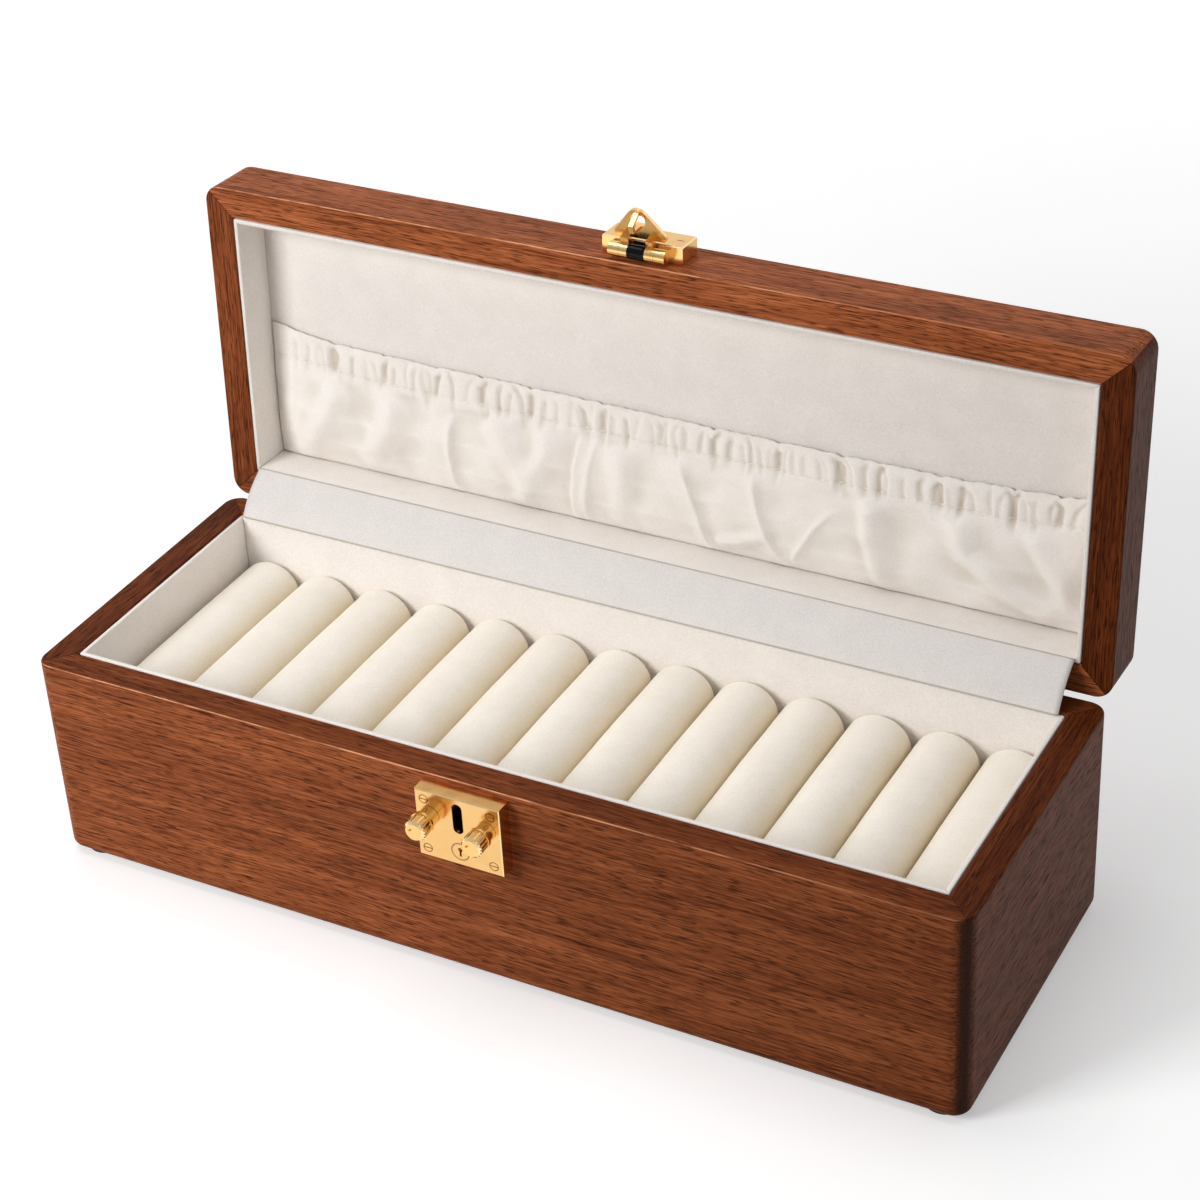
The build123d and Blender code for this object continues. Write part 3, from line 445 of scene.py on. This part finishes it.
# Painted highlight on the brass's chamfers and rounded edges
EDGE_HIGHLIGHT = tone(253, 226, 170)
SCREW_HEAD_RADIUS = 1.5 * MM
# Heights on the rolls over which the warm painted shade of the gaps fades out
roll_low, roll_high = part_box("roll_01")
roll_height = roll_high.z - roll_low.z
roll_warm_shade_heights = (roll_low.z + 0.45 * roll_height, roll_low.z + 0.95 * roll_height)
ivory = suede("ivory_suede", tone(247, 241, 236), tone(235, 228, 221))
roll_ivory = suede("roll_suede", tone(251, 245, 235), tone(241, 233, 220), warm_shade_between=roll_warm_shade_heights)
# The pocket takes painted shade in its creases
pocket_ivory = suede("pocket_suede", tone(252, 247, 241), tone(243, 236, 229), mottle=0.3, creases="painted_crease_shade")
# The ribbon takes painted shadow lines along its long edges, from its edge attribute
grey = suede("grey_ribbon_suede", tone(234, 229, 226), tone(220, 215, 212), mottle=0.25, creases="edge")
thread = suede("thread", tone(255, 252, 246), tone(244, 238, 228))
screw_low, screw_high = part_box("lock_screws")
plug_low, plug_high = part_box("key_plug")
plug_radius = (plug_high.x - plug_low.x) / 2
screw_middle = (screw_low + screw_high) / 2
plug_middle = (plug_low + plug_high) / 2
screw_spacing = (screw_high - screw_low) / 2 - Vector((SCREW_HEAD_RADIUS, 0, SCREW_HEAD_RADIUS))
lock_rings = (
    ((screw_middle.x, screw_middle.z), (screw_spacing.x, screw_spacing.z), SCREW_HEAD_RADIUS),
    ((plug_middle.x, plug_middle.z), (0.0, 0.0), plug_radius),
)
brass = metal("satin_brass", tone(240, 197, 132), tone(226, 179, 112), 0.2)
lock_brass = metal("lock_brass", tone(242, 199, 134), tone(230, 183, 116), 0.2, rings=lock_rings)
turned_brass = metal("turned_brass", tone(248, 206, 138), tone(236, 190, 118), 0.15, (60, 60, 60))
gloss_black = moulded("gloss_black", tone(14, 13, 13), tone(8, 7, 7), 0.1, 300, specular=0.12)
rubber = moulded("rubber_foot", tone(26, 24, 24), tone(16, 15, 15), 0.6, 1800)

# Each board's grain direction, the piece of the tree that it shows, its body and how much darker it is
# painted, as painted shade on the boards turned away from the lamps, and painted light where the value is
# below 0
BOARDS = {
    "base_front_board": (ALONG_X, (0.0, 0.0, 0.0), "base", 0.0),
    "base_rear_board": (ALONG_X, (0.61, 0.2, 0.1), "base", 0.0),
    "base_left_board": (ALONG_Y, (0.23, 0.4, 0.3), "base", 0.38),
    "base_right_board": (ALONG_Y, (0.37, 0.7, 0.2), "base", 0.36),
    "base_bottom_panel": (ALONG_X, (0.83, 0.5, 0.6), "base", 0.1),
    "lid_front_rail": (ALONG_X, (0.14, 0.9, 0.4), "lid", -0.08),
    "lid_rear_rail": (ALONG_X, (0.47, 0.1, 0.8), "lid", 0.05),
    "lid_left_rail": (ALONG_Y, (0.71, 0.3, 0.5), "lid", 0.3),
    "lid_right_rail": (ALONG_Y, (0.59, 0.6, 0.7), "lid", 0.68),
    "lid_top_panel": (ALONG_X, (0.92, 0.8, 0.9), "lid", 0.0),
}
TURNED = ("knob_left", "knob_right", "hasp_pin", "hasp_washer", "hinge_pins")
BRASS = (
    "hinge_base_leaf_left", "hinge_base_leaf_right", "hinge_lid_leaf_left", "hinge_lid_leaf_right",
    "hinge_screws_base", "hinge_screws_lid", "lock_back_plate", "cam_left", "cam_right",
    "hasp_block", "hasp_block_screws", "hasp",
)
LOCK_BRASS = ("lock_case", "lock_screws", "key_plug")


def dress(node, material):
    """Give a part of the frame its finish."""
    mesh = frame["nodes"][node].data
    mesh.materials.clear()
    mesh.materials.append(material)


for board, (turn, offset, body, depth) in BOARDS.items():
    dress(board, wood(f"wood_{board}", turn, offset, body, depth))
for fitting in BRASS:
    dress(fitting, brass)
for fitting in LOCK_BRASS:
    dress(fitting, lock_brass)
for fitting in TURNED:
    dress(fitting, turned_brass)
for corner in ("front_left", "front_right", "rear_left", "rear_right"):
    dress(f"foot_{corner}", rubber)
dress("hasp_sleeve", gloss_black)


# Lining: boards of card in suede
LINER_EDGE = 0.45 * MM
PANEL_EDGE = 0.7 * MM
for side in ("front", "rear", "left", "right", "floor"):
    wrapped_board(f"base_liner_{side}", "base", ivory, LINER_EDGE)
for side in ("front", "rear", "left", "right"):
    wrapped_board(f"lid_liner_{side}", "lid", ivory, LINER_EDGE)
wrapped_board("lid_liner_panel", "lid", ivory, PANEL_EDGE)


# Bangle rolls: stuffed tubes with full, rounded ends
ROLL_COUNT = 13
ROLL_AROUND = 72
ROLL_END_STEPS = 8
ROLL_SPANS = 24
ROLL_END_RADIUS = 4.2 * MM
ROLL_DISH = 0.9 * MM
ROLL_CROWN = 0.25 * MM


def roll_profile(half, radius):
    """Return the radius and place of the points along a roll, from the middle of one end to the other."""
    cap = []
    for share in (0.0, 0.35, 0.7):
        cap.append(((radius - ROLL_END_RADIUS) * share, half - ROLL_DISH * (1 - share) ** 0.7))
    for step in range(ROLL_END_STEPS + 1):
        angle = pi / 2 * step / ROLL_END_STEPS
        cap.append(
            (radius - ROLL_END_RADIUS * (1 - sin(angle)), half - ROLL_END_RADIUS * (1 - cos(angle)))
        )
    start = half - ROLL_END_RADIUS
    body = []
    for step in range(1, ROLL_SPANS):
        place = start * (1 - 2 * step / ROLL_SPANS)
        body.append((radius + ROLL_CROWN * (1 - (place / start) ** 2), place))
    return cap + body + [(across, -along) for across, along in reversed(cap)]


def make_roll(node):
    """Build one roll where the frame has it, with the slight unevenness of stuffing."""
    low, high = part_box(node)
    centre = (low + high) / 2
    half = (high.y - low.y) / 2
    radius = (high.x - low.x) / 2 - ROLL_CROWN
    phase = centre.x * 400
    profile = roll_profile(half, radius)
    points = np.zeros((len(profile), ROLL_AROUND, 3))
    for row, (across, along) in enumerate(profile):
        for column in range(ROLL_AROUND):
            angle = 2 * pi * column / ROLL_AROUND
            swell = 1 + 0.006 * sin(3 * angle + phase + along * 70) * sin(along * 120 + phase)
            x = across * swell * cos(angle)
            z = across * swell * sin(angle)
            points[row, column] = (centre.x + x, centre.y + along, centre.z + z)
    mesh = grid_mesh(node, points, closed_columns=True)
    work = bmesh.new()
    work.from_mesh(mesh)
    bmesh.ops.remove_doubles(work, verts=work.verts, dist=0.01 * MM)
    bmesh.ops.recalc_face_normals(work, faces=work.faces)
    work.to_mesh(mesh)
    work.free()
    piece = add_piece(f"suede_{node}", mesh, roll_ivory, "base")
    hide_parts(node)


for number in range(1, ROLL_COUNT + 1):
    make_roll(f"roll_{number:02d}")


# Pocket: gathered along a casing, sewn down at the sides and hem. Measured on the lid's panel in
# millimetres, X along the lid, Y from the middle of the panel towards the hinge, and out from it.
pocket_low, pocket_high = shut_box("lid_pocket")
panel_low, panel_high = shut_box("lid_liner_panel")
panel_z = panel_low[2]
POCKET_STEP_MM = 0.64
POCKET_ROWS = 100
CLOTH_THICKNESS = 0.4 * MM
# Where the mouth and the row of stitches run along the lid, chosen for the fullness of the gathers
MOUTH_Y_MM = (
    (-152.4, -4.4), (-147, -4.0), (-138, -2.4), (-122, -0.9), (-95, -0.5),
    (-20, 0.1), (20, 0.6), (100, 0.5), (125, -0.2), (152.4, -2.0),
)
SEAM_Y_MM = (
    (-152.4, 7.0), (-140, 7.6), (-120, 9.6), (-95, 10.2),
    (0, 10.7), (100, 10.8), (125, 10.3), (152.4, 8.2),
)
# Each fold is the points along its crest, its rise and its reach to either side
SOFT_FOLDS = (
    (((-122, 12), (-131, 28), (-141, 44)), 2.8, 5.5, 5.5),
    (((-101, 12), (-104, 26), (-112, 40)), 2.5, 5.5, 5.5),
    (((-64, 11), (-57, 22), (-50, 38)), 2.3, 6.5, 5.5),
    (((-38, 14), (-46, 30), (-52, 43)), 1.7, 4.5, 4.5),
    (((-14, 12), (-12, 26), (-14, 42)), 1.8, 5.0, 4.5),
    (((76, 11), (78, 28), (82, 44)), 2.6, 3.5, 6.0),
    (((104, 11), (111, 25), (136, 42)), 2.8, 4.5, 4.5),
    (((129, 10), (138, 22), (150, 38)), 2.0, 3.8, 4.5),
    (((20, 43), (31, 40), (40, 35)), 1.2, 2.5, 3.0),
)
SHARP_FOLDS = (
    (((-78.5, 14), (-79.4, 22), (-79.7, 30), (-79.2, 38), (-78.2, 46)), 1.6, 2.6, 1.2),
    (((-27.5, 11), (-29, 18), (-30.3, 25), (-31.5, 35), (-32.3, 46)), 1.5, 1.2, 3.0),
    (((-21, 11), (-23.2, 17), (-24.8, 24), (-26.5, 35), (-27.8, 46)), 1.1, 2.6, 1.2),
    (((7.5, 12), (11, 19), (13.8, 27), (16.4, 36), (18.5, 46)), 1.6, 3.0, 1.4),
    (((34.5, 12), (36.5, 21), (39, 30), (42.6, 38), (47, 46)), 1.4, 3.0, 1.3),
    (((49, 46), (51.5, 39), (55, 33), (58.6, 27), (63, 22)), 1.3, 1.8, 1.3),
)
# How far the cloth stands off the panel, from over its stitches down to the hem
STAND_PLACES = (-0.3, -0.2, 0.0, 0.15, 0.45, 0.75, 0.9, 1.0)
STANDS_MM = (1.3, 1.9, 2.2, 2.9, 3.9, 3.0, 1.5, 0.5)
FOLD_STRENGTH = 1.3
STITCH_PITCH_MM = 2.9
STITCH_LENGTH_MM = 1.8
STITCH_RADIUS_MM = 0.2
STRONG_GATHERS_MM = (-126, -106, -85, -67, -48, -28, -19.5, 3, 20.5, 44, 66, 79, 100, 108, 125, 140)


def distance_to(path, x, y):
    """Return how far points are across from a path, signed by its side, and how far along it, 0 to 1."""
    path = np.array(path, float)
    legs = path[1:] - path[:-1]
    lengths = np.hypot(legs[:, 0], legs[:, 1])
    total = lengths.sum()
    best = np.full(x.shape, 1e9)
    side = np.ones(x.shape)
    along = np.zeros(x.shape)
    travelled = 0.0
    for start, leg, length in zip(path[:-1], legs, lengths):
        ahead = np.clip(((x - start[0]) * leg[0] + (y - start[1]) * leg[1]) / length**2, 0, 1)
        across_x = x - start[0] - ahead * leg[0]
        across_y = y - start[1] - ahead * leg[1]
        far = np.hypot(across_x, across_y)
        nearer = far < best
        best = np.where(nearer, far, best)
        turn = np.sign(leg[1] * across_x - leg[0] * across_y)
        side = np.where(nearer, turn, side)
        along = np.where(nearer, (travelled + ahead * length) / total, along)
        travelled += length
    return best * side, along


def smooth(values, low, high):
    """Return an even step from 0 at low to 1 at high."""
    share = np.clip((values - low) / (high - low), 0, 1)
    return share * share * (3 - 2 * share)


def fold_height(path, x, y, left, right, power):
    """Return a fold's shape, 1 on its crest and 0 away from it, with its own width on each side."""
    across, along = distance_to(path, x, y)
    reach = np.where(across < 0, left, right)
    ends = smooth(along, 0.0, 0.22) * (1 - 0.35 * smooth(along, 0.75, 1.0))
    return np.exp(-np.abs(across / reach) ** power) * ends


def gathers(x, y, mouth, seam):
    """Return the comma-shaped creases that the elastic draws into the casing and just under it."""
    picker = Random(7)
    down = (y - mouth) / (seam - mouth)
    height = np.zeros(x.shape)
    creases = []
    centre = -142.0
    while centre < 149:
        creases.append((centre, picker.uniform(0.4, 1.0), picker.uniform(0.45, 0.8)))
        centre += picker.uniform(2.4, 6.0)
    for centre in STRONG_GATHERS_MM:
        creases.append((centre, picker.uniform(0.9, 1.45), picker.uniform(0.65, 1.0)))
    for centre, depth, width in creases:
        lean = picker.uniform(-2.2, 2.2)
        hook = picker.uniform(-3.6, 3.6)
        steep_side = picker.choice((-1, 1))
        top = picker.uniform(0.05, 0.3)
        line = centre + lean * (down - 0.5) + hook * (1 - smooth(down, 0.0, 0.75)) ** 2
        across = (x - line) * steep_side
        fall = np.exp(-((across / np.where(across > 0, width, 2.4 * width)) ** 2))
        reach = smooth(down, top - 0.12, top + 0.25) * (1 - smooth(down, 0.8, picker.uniform(1.1, 1.8)))
        height -= depth * fall * reach
    return height


def lumps(x, y, scale, seed):
    """Return a smooth random surface, made of a few crossing waves."""
    picker = Random(seed)
    height = np.zeros(x.shape)
    for _ in range(9):
        angle = picker.uniform(0, 2 * pi)
        pace = picker.uniform(0.6, 1.5) * 2 * pi / scale
        phase = picker.uniform(0, 2 * pi)
        height += np.sin((x * cos(angle) + y * sin(angle)) * pace + phase)
    return height / 4


def pocket_height(x, y, mouth, seam, hem):
    """Return how far the cloth stands off the panel."""
    drop = (y - seam) / (hem - seam)
    off = np.interp(drop, STAND_PLACES, STANDS_MM)
    height = off + gathers(x, y, mouth, seam)
    below = smooth(drop, 0.0, 0.12)
    folds = np.zeros(x.shape)
    for path, rise, left, right in SOFT_FOLDS:
        folds += rise * fold_height(path, x, y, left, right, 2.0)
    for path, rise, left, right in SHARP_FOLDS:
        folds += rise * fold_height(path, x, y, left, right, 1.15)
    folds += 0.4 * lumps(x, y, 28, 3) + 0.12 * lumps(x, y, 13, 8)
    height += FOLD_STRENGTH * below * folds * (1 - 0.72 * smooth(drop, 0.86, 1.0))
    height += 0.25 * lumps(x, 0 * y, 14, 11) * (1 - below)
    height -= 0.22 * np.exp(-(((y - seam) / 0.6) ** 2))
    ends = smooth(np.abs(x), 152.6, 143.0)
    return np.maximum(0.5 + (height - 0.5) * (0.25 + 0.75 * ends), 0.5)


def blurred(values, reach):
    """Return a grid of values evened out over a number of its steps."""
    places = np.arange(-2 * reach, 2 * reach + 1)
    weights = np.exp(-((places / reach) ** 2))
    weights /= weights.sum()
    for axis in (0, 1):
        padding = [(2 * reach, 2 * reach) if side == axis else (0, 0) for side in (0, 1)]
        wider = np.pad(values, padding, mode="edge")
        values = np.apply_along_axis(np.convolve, axis, wider, weights, mode="valid")
    return values


def crease_shade_share(off):
    """Return how deep in a fold the cloth lies, 0 to 1, where shade is painted into the creases."""
    fine = np.clip((blurred(off, 4) - off) / 0.7, 0, 1)
    broad = np.clip((blurred(off, 14) - off) / 2.2, 0, 1)
    return np.clip(0.5 * fine + 0.55 * broad, 0, 1)


def on_lid(x, y, off):
    """Return places on the open lid, from millimetres on the panel and out from it."""
    shut = np.stack([x * MM, y * MM, panel_z - off * MM], -1)
    turn = np.array(lid_swing.to_3x3())
    return shut @ turn.T + np.array(lid_swing.translation)


def pocket_lines(x):
    """Return where the mouth and the row of stitches are at places along the lid."""
    return np.interp(x, *zip(*MOUTH_Y_MM)), np.interp(x, *zip(*SEAM_Y_MM))


def make_pocket():
    """Build the gathered pocket, with its thickness."""
    left = pocket_low[0] / MM
    right = pocket_high[0] / MM
    hem = pocket_high[1] / MM
    share = np.linspace(0, 1, POCKET_ROWS)[:, None]
    x = np.linspace(left, right, int((right - left) / POCKET_STEP_MM) + 1) + 0 * share
    mouth, seam = pocket_lines(x)
    y = mouth + (hem - mouth) * share
    off = pocket_height(x, y, mouth, seam, hem)
    edge = np.exp(-(((y - mouth) / 4) ** 2))
    y = y - edge * 0.45 * (gathers(x, mouth + 0.6 * (seam - mouth), mouth, seam) + 0.3)
    mesh = grid_mesh("pocket_cloth", on_lid(x, y, off))
    mesh.flip_normals()
    # Painted shade deep in the folds
    painted_crease_shade = mesh.attributes.new("painted_crease_shade", "FLOAT", "POINT")
    painted_crease_shade.data.foreach_set("value", crease_shade_share(off).ravel())
    cloth = add_piece("pocket_cloth", mesh, pocket_ivory, None)
    thicken = cloth.modifiers.new("thickness", "SOLIDIFY")
    thicken.thickness = CLOTH_THICKNESS
    thicken.offset = -1
    apply_modifiers(cloth)
    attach(cloth, "lid")
    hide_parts("lid_pocket")
    return cloth


def make_stitches():
    """Sew the row of stitches under the pocket's casing."""
    hem = pocket_high[1] / MM
    sides = np.linspace(0, 2 * pi, 6, endpoint=False)[:, None]
    along = np.linspace(0, 1, 5)[None, :]
    thickness = STITCH_RADIUS_MM * np.array((0.35, 0.9, 1.0, 0.9, 0.35))[None, :]
    whole = bmesh.new()
    start = pocket_low[0] / MM + 2 * STITCH_PITCH_MM
    while start < pocket_high[0] / MM - 2 * STITCH_PITCH_MM:
        x = start + STITCH_LENGTH_MM * along + 0 * sides
        mouth, seam = pocket_lines(x)
        off = pocket_height(x, seam, mouth, seam, hem) + 0.1 + thickness * np.cos(sides)
        ring = on_lid(x, seam + thickness * np.sin(sides), off)
        stitch = grid_mesh("stitch", ring.transpose(1, 0, 2), closed_columns=True)
        whole.from_mesh(stitch)
        bpy.data.meshes.remove(stitch)
        start += STITCH_PITCH_MM
    bmesh.ops.holes_fill(whole, edges=whole.edges, sides=6)
    bmesh.ops.recalc_face_normals(whole, faces=whole.faces)
    mesh = bpy.data.meshes.new("pocket_stitches")
    whole.to_mesh(mesh)
    whole.free()
    stitches = add_piece("pocket_stitches", mesh, thread, "lid")
    return stitches


pocket = make_pocket()
stitches = make_stitches()


# Ribbon over the joint at the back
RIBBON_THICKNESS = 0.5 * MM
RIBBON_BULGE = 0.07
RIBBON_COLUMNS = 160
RIBBON_ROWS = 28
RIPPLE = 0.08 * MM


def make_ribbon():
    """Build the bowed ribbon from the base's rear liner up to the lid's."""
    low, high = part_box("hinge_ribbon")
    base_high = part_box("base_liner_rear")[1]
    lid_low, lid_high = shut_box("lid_liner_rear")
    liner_thickness = lid_high[1] - lid_low[1]
    start = Vector((0, base_high.y - liner_thickness + 0.2 * MM, base_high.z + 0.1 * MM))
    end = lid_swing @ Vector((0, lid_low[1] + 0.2 * MM, lid_low[2] - 0.1 * MM))
    run = end - start
    out = Vector((0, -run.z, run.y)).normalized()
    points = np.zeros((RIBBON_ROWS, RIBBON_COLUMNS, 3))
    for row in range(RIBBON_ROWS):
        share = row / (RIBBON_ROWS - 1)
        bow = 4 * share * (1 - share) * run.length * RIBBON_BULGE
        for column in range(RIBBON_COLUMNS):
            x = low.x + (high.x - low.x) * column / (RIBBON_COLUMNS - 1)
            place = start + run * share + out * bow
            ripple = RIPPLE * sin(x * 160 + share * 3) * sin(pi * share)
            points[row, column] = (x, place.y - ripple, place.z + ripple)
    mesh = grid_mesh("ribbon", points)
    mesh.flip_normals()
    # Painted shadow lines along both long edges, where the ribbon meets the liners
    edge = mesh.attributes.new("edge", "FLOAT", "POINT")
    edge_shadow_lines = np.zeros((RIBBON_ROWS, RIBBON_COLUMNS))
    edge_shadow_lines[(0, -1), :] = 1
    edge.data.foreach_set("value", edge_shadow_lines.ravel())
    ribbon = add_piece("grey_ribbon", mesh, grey, None)
    thicken = ribbon.modifiers.new("thickness", "SOLIDIFY")
    thicken.thickness = RIBBON_THICKNESS
    thicken.offset = -1
    apply_modifiers(ribbon)
    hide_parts("hinge_ribbon")
    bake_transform(ribbon)
    return ribbon, high.x - low.x, run.length * (1 + 8 / 3 * RIBBON_BULGE**2)


ribbon, ribbon_width, ribbon_length = make_ribbon()


# Floor, light and camera
FLOOR_HALF = 6.0
FLOOR_BOUNCE = tone(176, 175, 175)
FLOOR_LIFT_NEAR = 0.34
FLOOR_LIFT_FAR = 0.66
# How far from the box the floor's lift starts, reaches its middle value and ends
LIFT_STARTS = 0.25
LIFT_MIDDLE = 0.95
LIFT_ENDS = 2.4
FILL_LEFT = 0.08
FILL_RIGHT = 0.45
FILL_BACK = (0.3, 0.3, 0.3, 1)
WHITE = (1, 1, 1, 1)
KEY_PLACE = (-0.44, -0.72, 0.55)
KEY_AIM = (-0.03, 0, 0.08)
KEY_SIZE = 0.4
KEY_WATTS = 6.4
TOP_PLACE = (-0.25, 0.1, 1.5)
TOP_AIM = (0, 0, 0.08)
TOP_SIZE = 1.0
TOP_WATTS = 7.8
CAMERA_LENS_MM = 84.74
CAMERA_SENSOR_MM = 36.0
CAMERA_PLACE = (0.383555, -0.644866, 0.590306)
CAMERA_TURN_DEG = (57.260, 2.815, 27.752)


def seen_directly(tree, mirrored=1.0):
    """Return 1 for what the camera sees, itself or in a reflection, and 0 for scattered light."""
    seen = add_node(tree, "ShaderNodeLightPath").outputs
    glossy = maths(tree, "MULTIPLY", seen["Is Glossy Ray"], mirrored)
    direct = maths(tree, "MAXIMUM", seen["Is Camera Ray"], glossy)
    return maths(tree, "MAXIMUM", direct, seen["Is Transmission Ray"])


def make_floor():
    """Lay a pale floor that shows as white, and keeps the box's shadow."""
    half = FLOOR_HALF
    mesh = bpy.data.meshes.new("floor")
    corners = [(-half, -half, 0), (half, -half, 0), (half, half, 0), (-half, half, 0)]
    mesh.from_pydata(corners, [], [(0, 1, 2, 3)])
    made, tree, shader = new_material("pale_floor", Roughness=0.9, Specular_IOR_Level=0.1)
    place = add_node(tree, "ShaderNodeTexCoord").outputs["Object"]
    grain = noise(tree, place, scale=30)
    pale = mix(tree, grain, tone(235, 235, 235), tone(238, 238, 238))
    colour = mix(tree, seen_directly(tree), FLOOR_BOUNCE, pale)
    tree.links.new(colour, shader.inputs["Base Color"])
    shader.inputs["Emission Color"].default_value = WHITE
    away = add_node(tree, "ShaderNodeVectorMath", {0: place}, operation="LENGTH").outputs["Value"]
    lift = spread(tree, away, LIFT_STARTS, LIFT_MIDDLE, FLOOR_LIFT_NEAR, FLOOR_LIFT_FAR)
    rest = spread(tree, away, LIFT_MIDDLE, LIFT_ENDS, 0.0, 1.0 - FLOOR_LIFT_FAR)
    lift = maths(tree, "ADD", lift, rest)
    lift = maths(tree, "MULTIPLY", seen_directly(tree), lift)
    tree.links.new(lift, shader.inputs["Emission Strength"])
    mesh.materials.append(made)
    floor = bpy.data.objects.new("floor", mesh)
    bpy.context.scene.collection.objects.link(floor)


def make_world():
    """Fill the side away from the key lamp with plain light, and show white behind the box."""
    world = bpy.data.worlds.new("studio")
    bpy.context.scene.world = world
    world.use_nodes = True
    tree = world.node_tree
    background = tree.nodes["Background"]
    background.inputs["Color"].default_value = WHITE
    way = add_node(tree, "ShaderNodeTexCoord").outputs["Generated"]
    to_right, to_back, _ = add_node(tree, "ShaderNodeSeparateXYZ", {0: way}).outputs
    fill = spread(tree, to_right, 0.1, 0.5, FILL_LEFT, FILL_RIGHT)
    fill = mix(tree, spread(tree, to_back, 0.2, 0.6, 0.0, 1.0), fill, FILL_BACK)
    mirrored = spread(tree, to_back, -0.6, 0.1, 0.5, 1.0)
    strength = mix(tree, seen_directly(tree, mirrored), fill, WHITE)
    tree.links.new(strength, background.inputs["Strength"])


def make_lamp(name, place, aim, size, power):
    """Hang a soft square lamp that points at a place."""
    light = bpy.data.lights.new(name, "AREA")
    light.shape = "RECTANGLE"
    light.size = size
    light.size_y = size
    light.energy = power
    lamp = bpy.data.objects.new(name, light)
    lamp.location = place
    lamp.rotation_euler = (Vector(aim) - Vector(place)).to_track_quat("-Z", "Y").to_euler()
    bpy.context.scene.collection.objects.link(lamp)
    return lamp


make_floor()
make_world()
key = make_lamp("key", KEY_PLACE, KEY_AIM, KEY_SIZE, KEY_WATTS)
key.visible_glossy = False
make_lamp("top", TOP_PLACE, TOP_AIM, TOP_SIZE, TOP_WATTS)

camera_data = bpy.data.cameras.new("camera")
camera_data.lens = CAMERA_LENS_MM
camera_data.sensor_width = CAMERA_SENSOR_MM
camera = bpy.data.objects.new("camera", camera_data)
camera.location = CAMERA_PLACE
camera.rotation_euler = [radians(turn) for turn in CAMERA_TURN_DEG]
bpy.context.scene.collection.objects.link(camera)
bpy.context.scene.camera = camera
bpy.context.scene.view_settings.view_transform = "Standard"
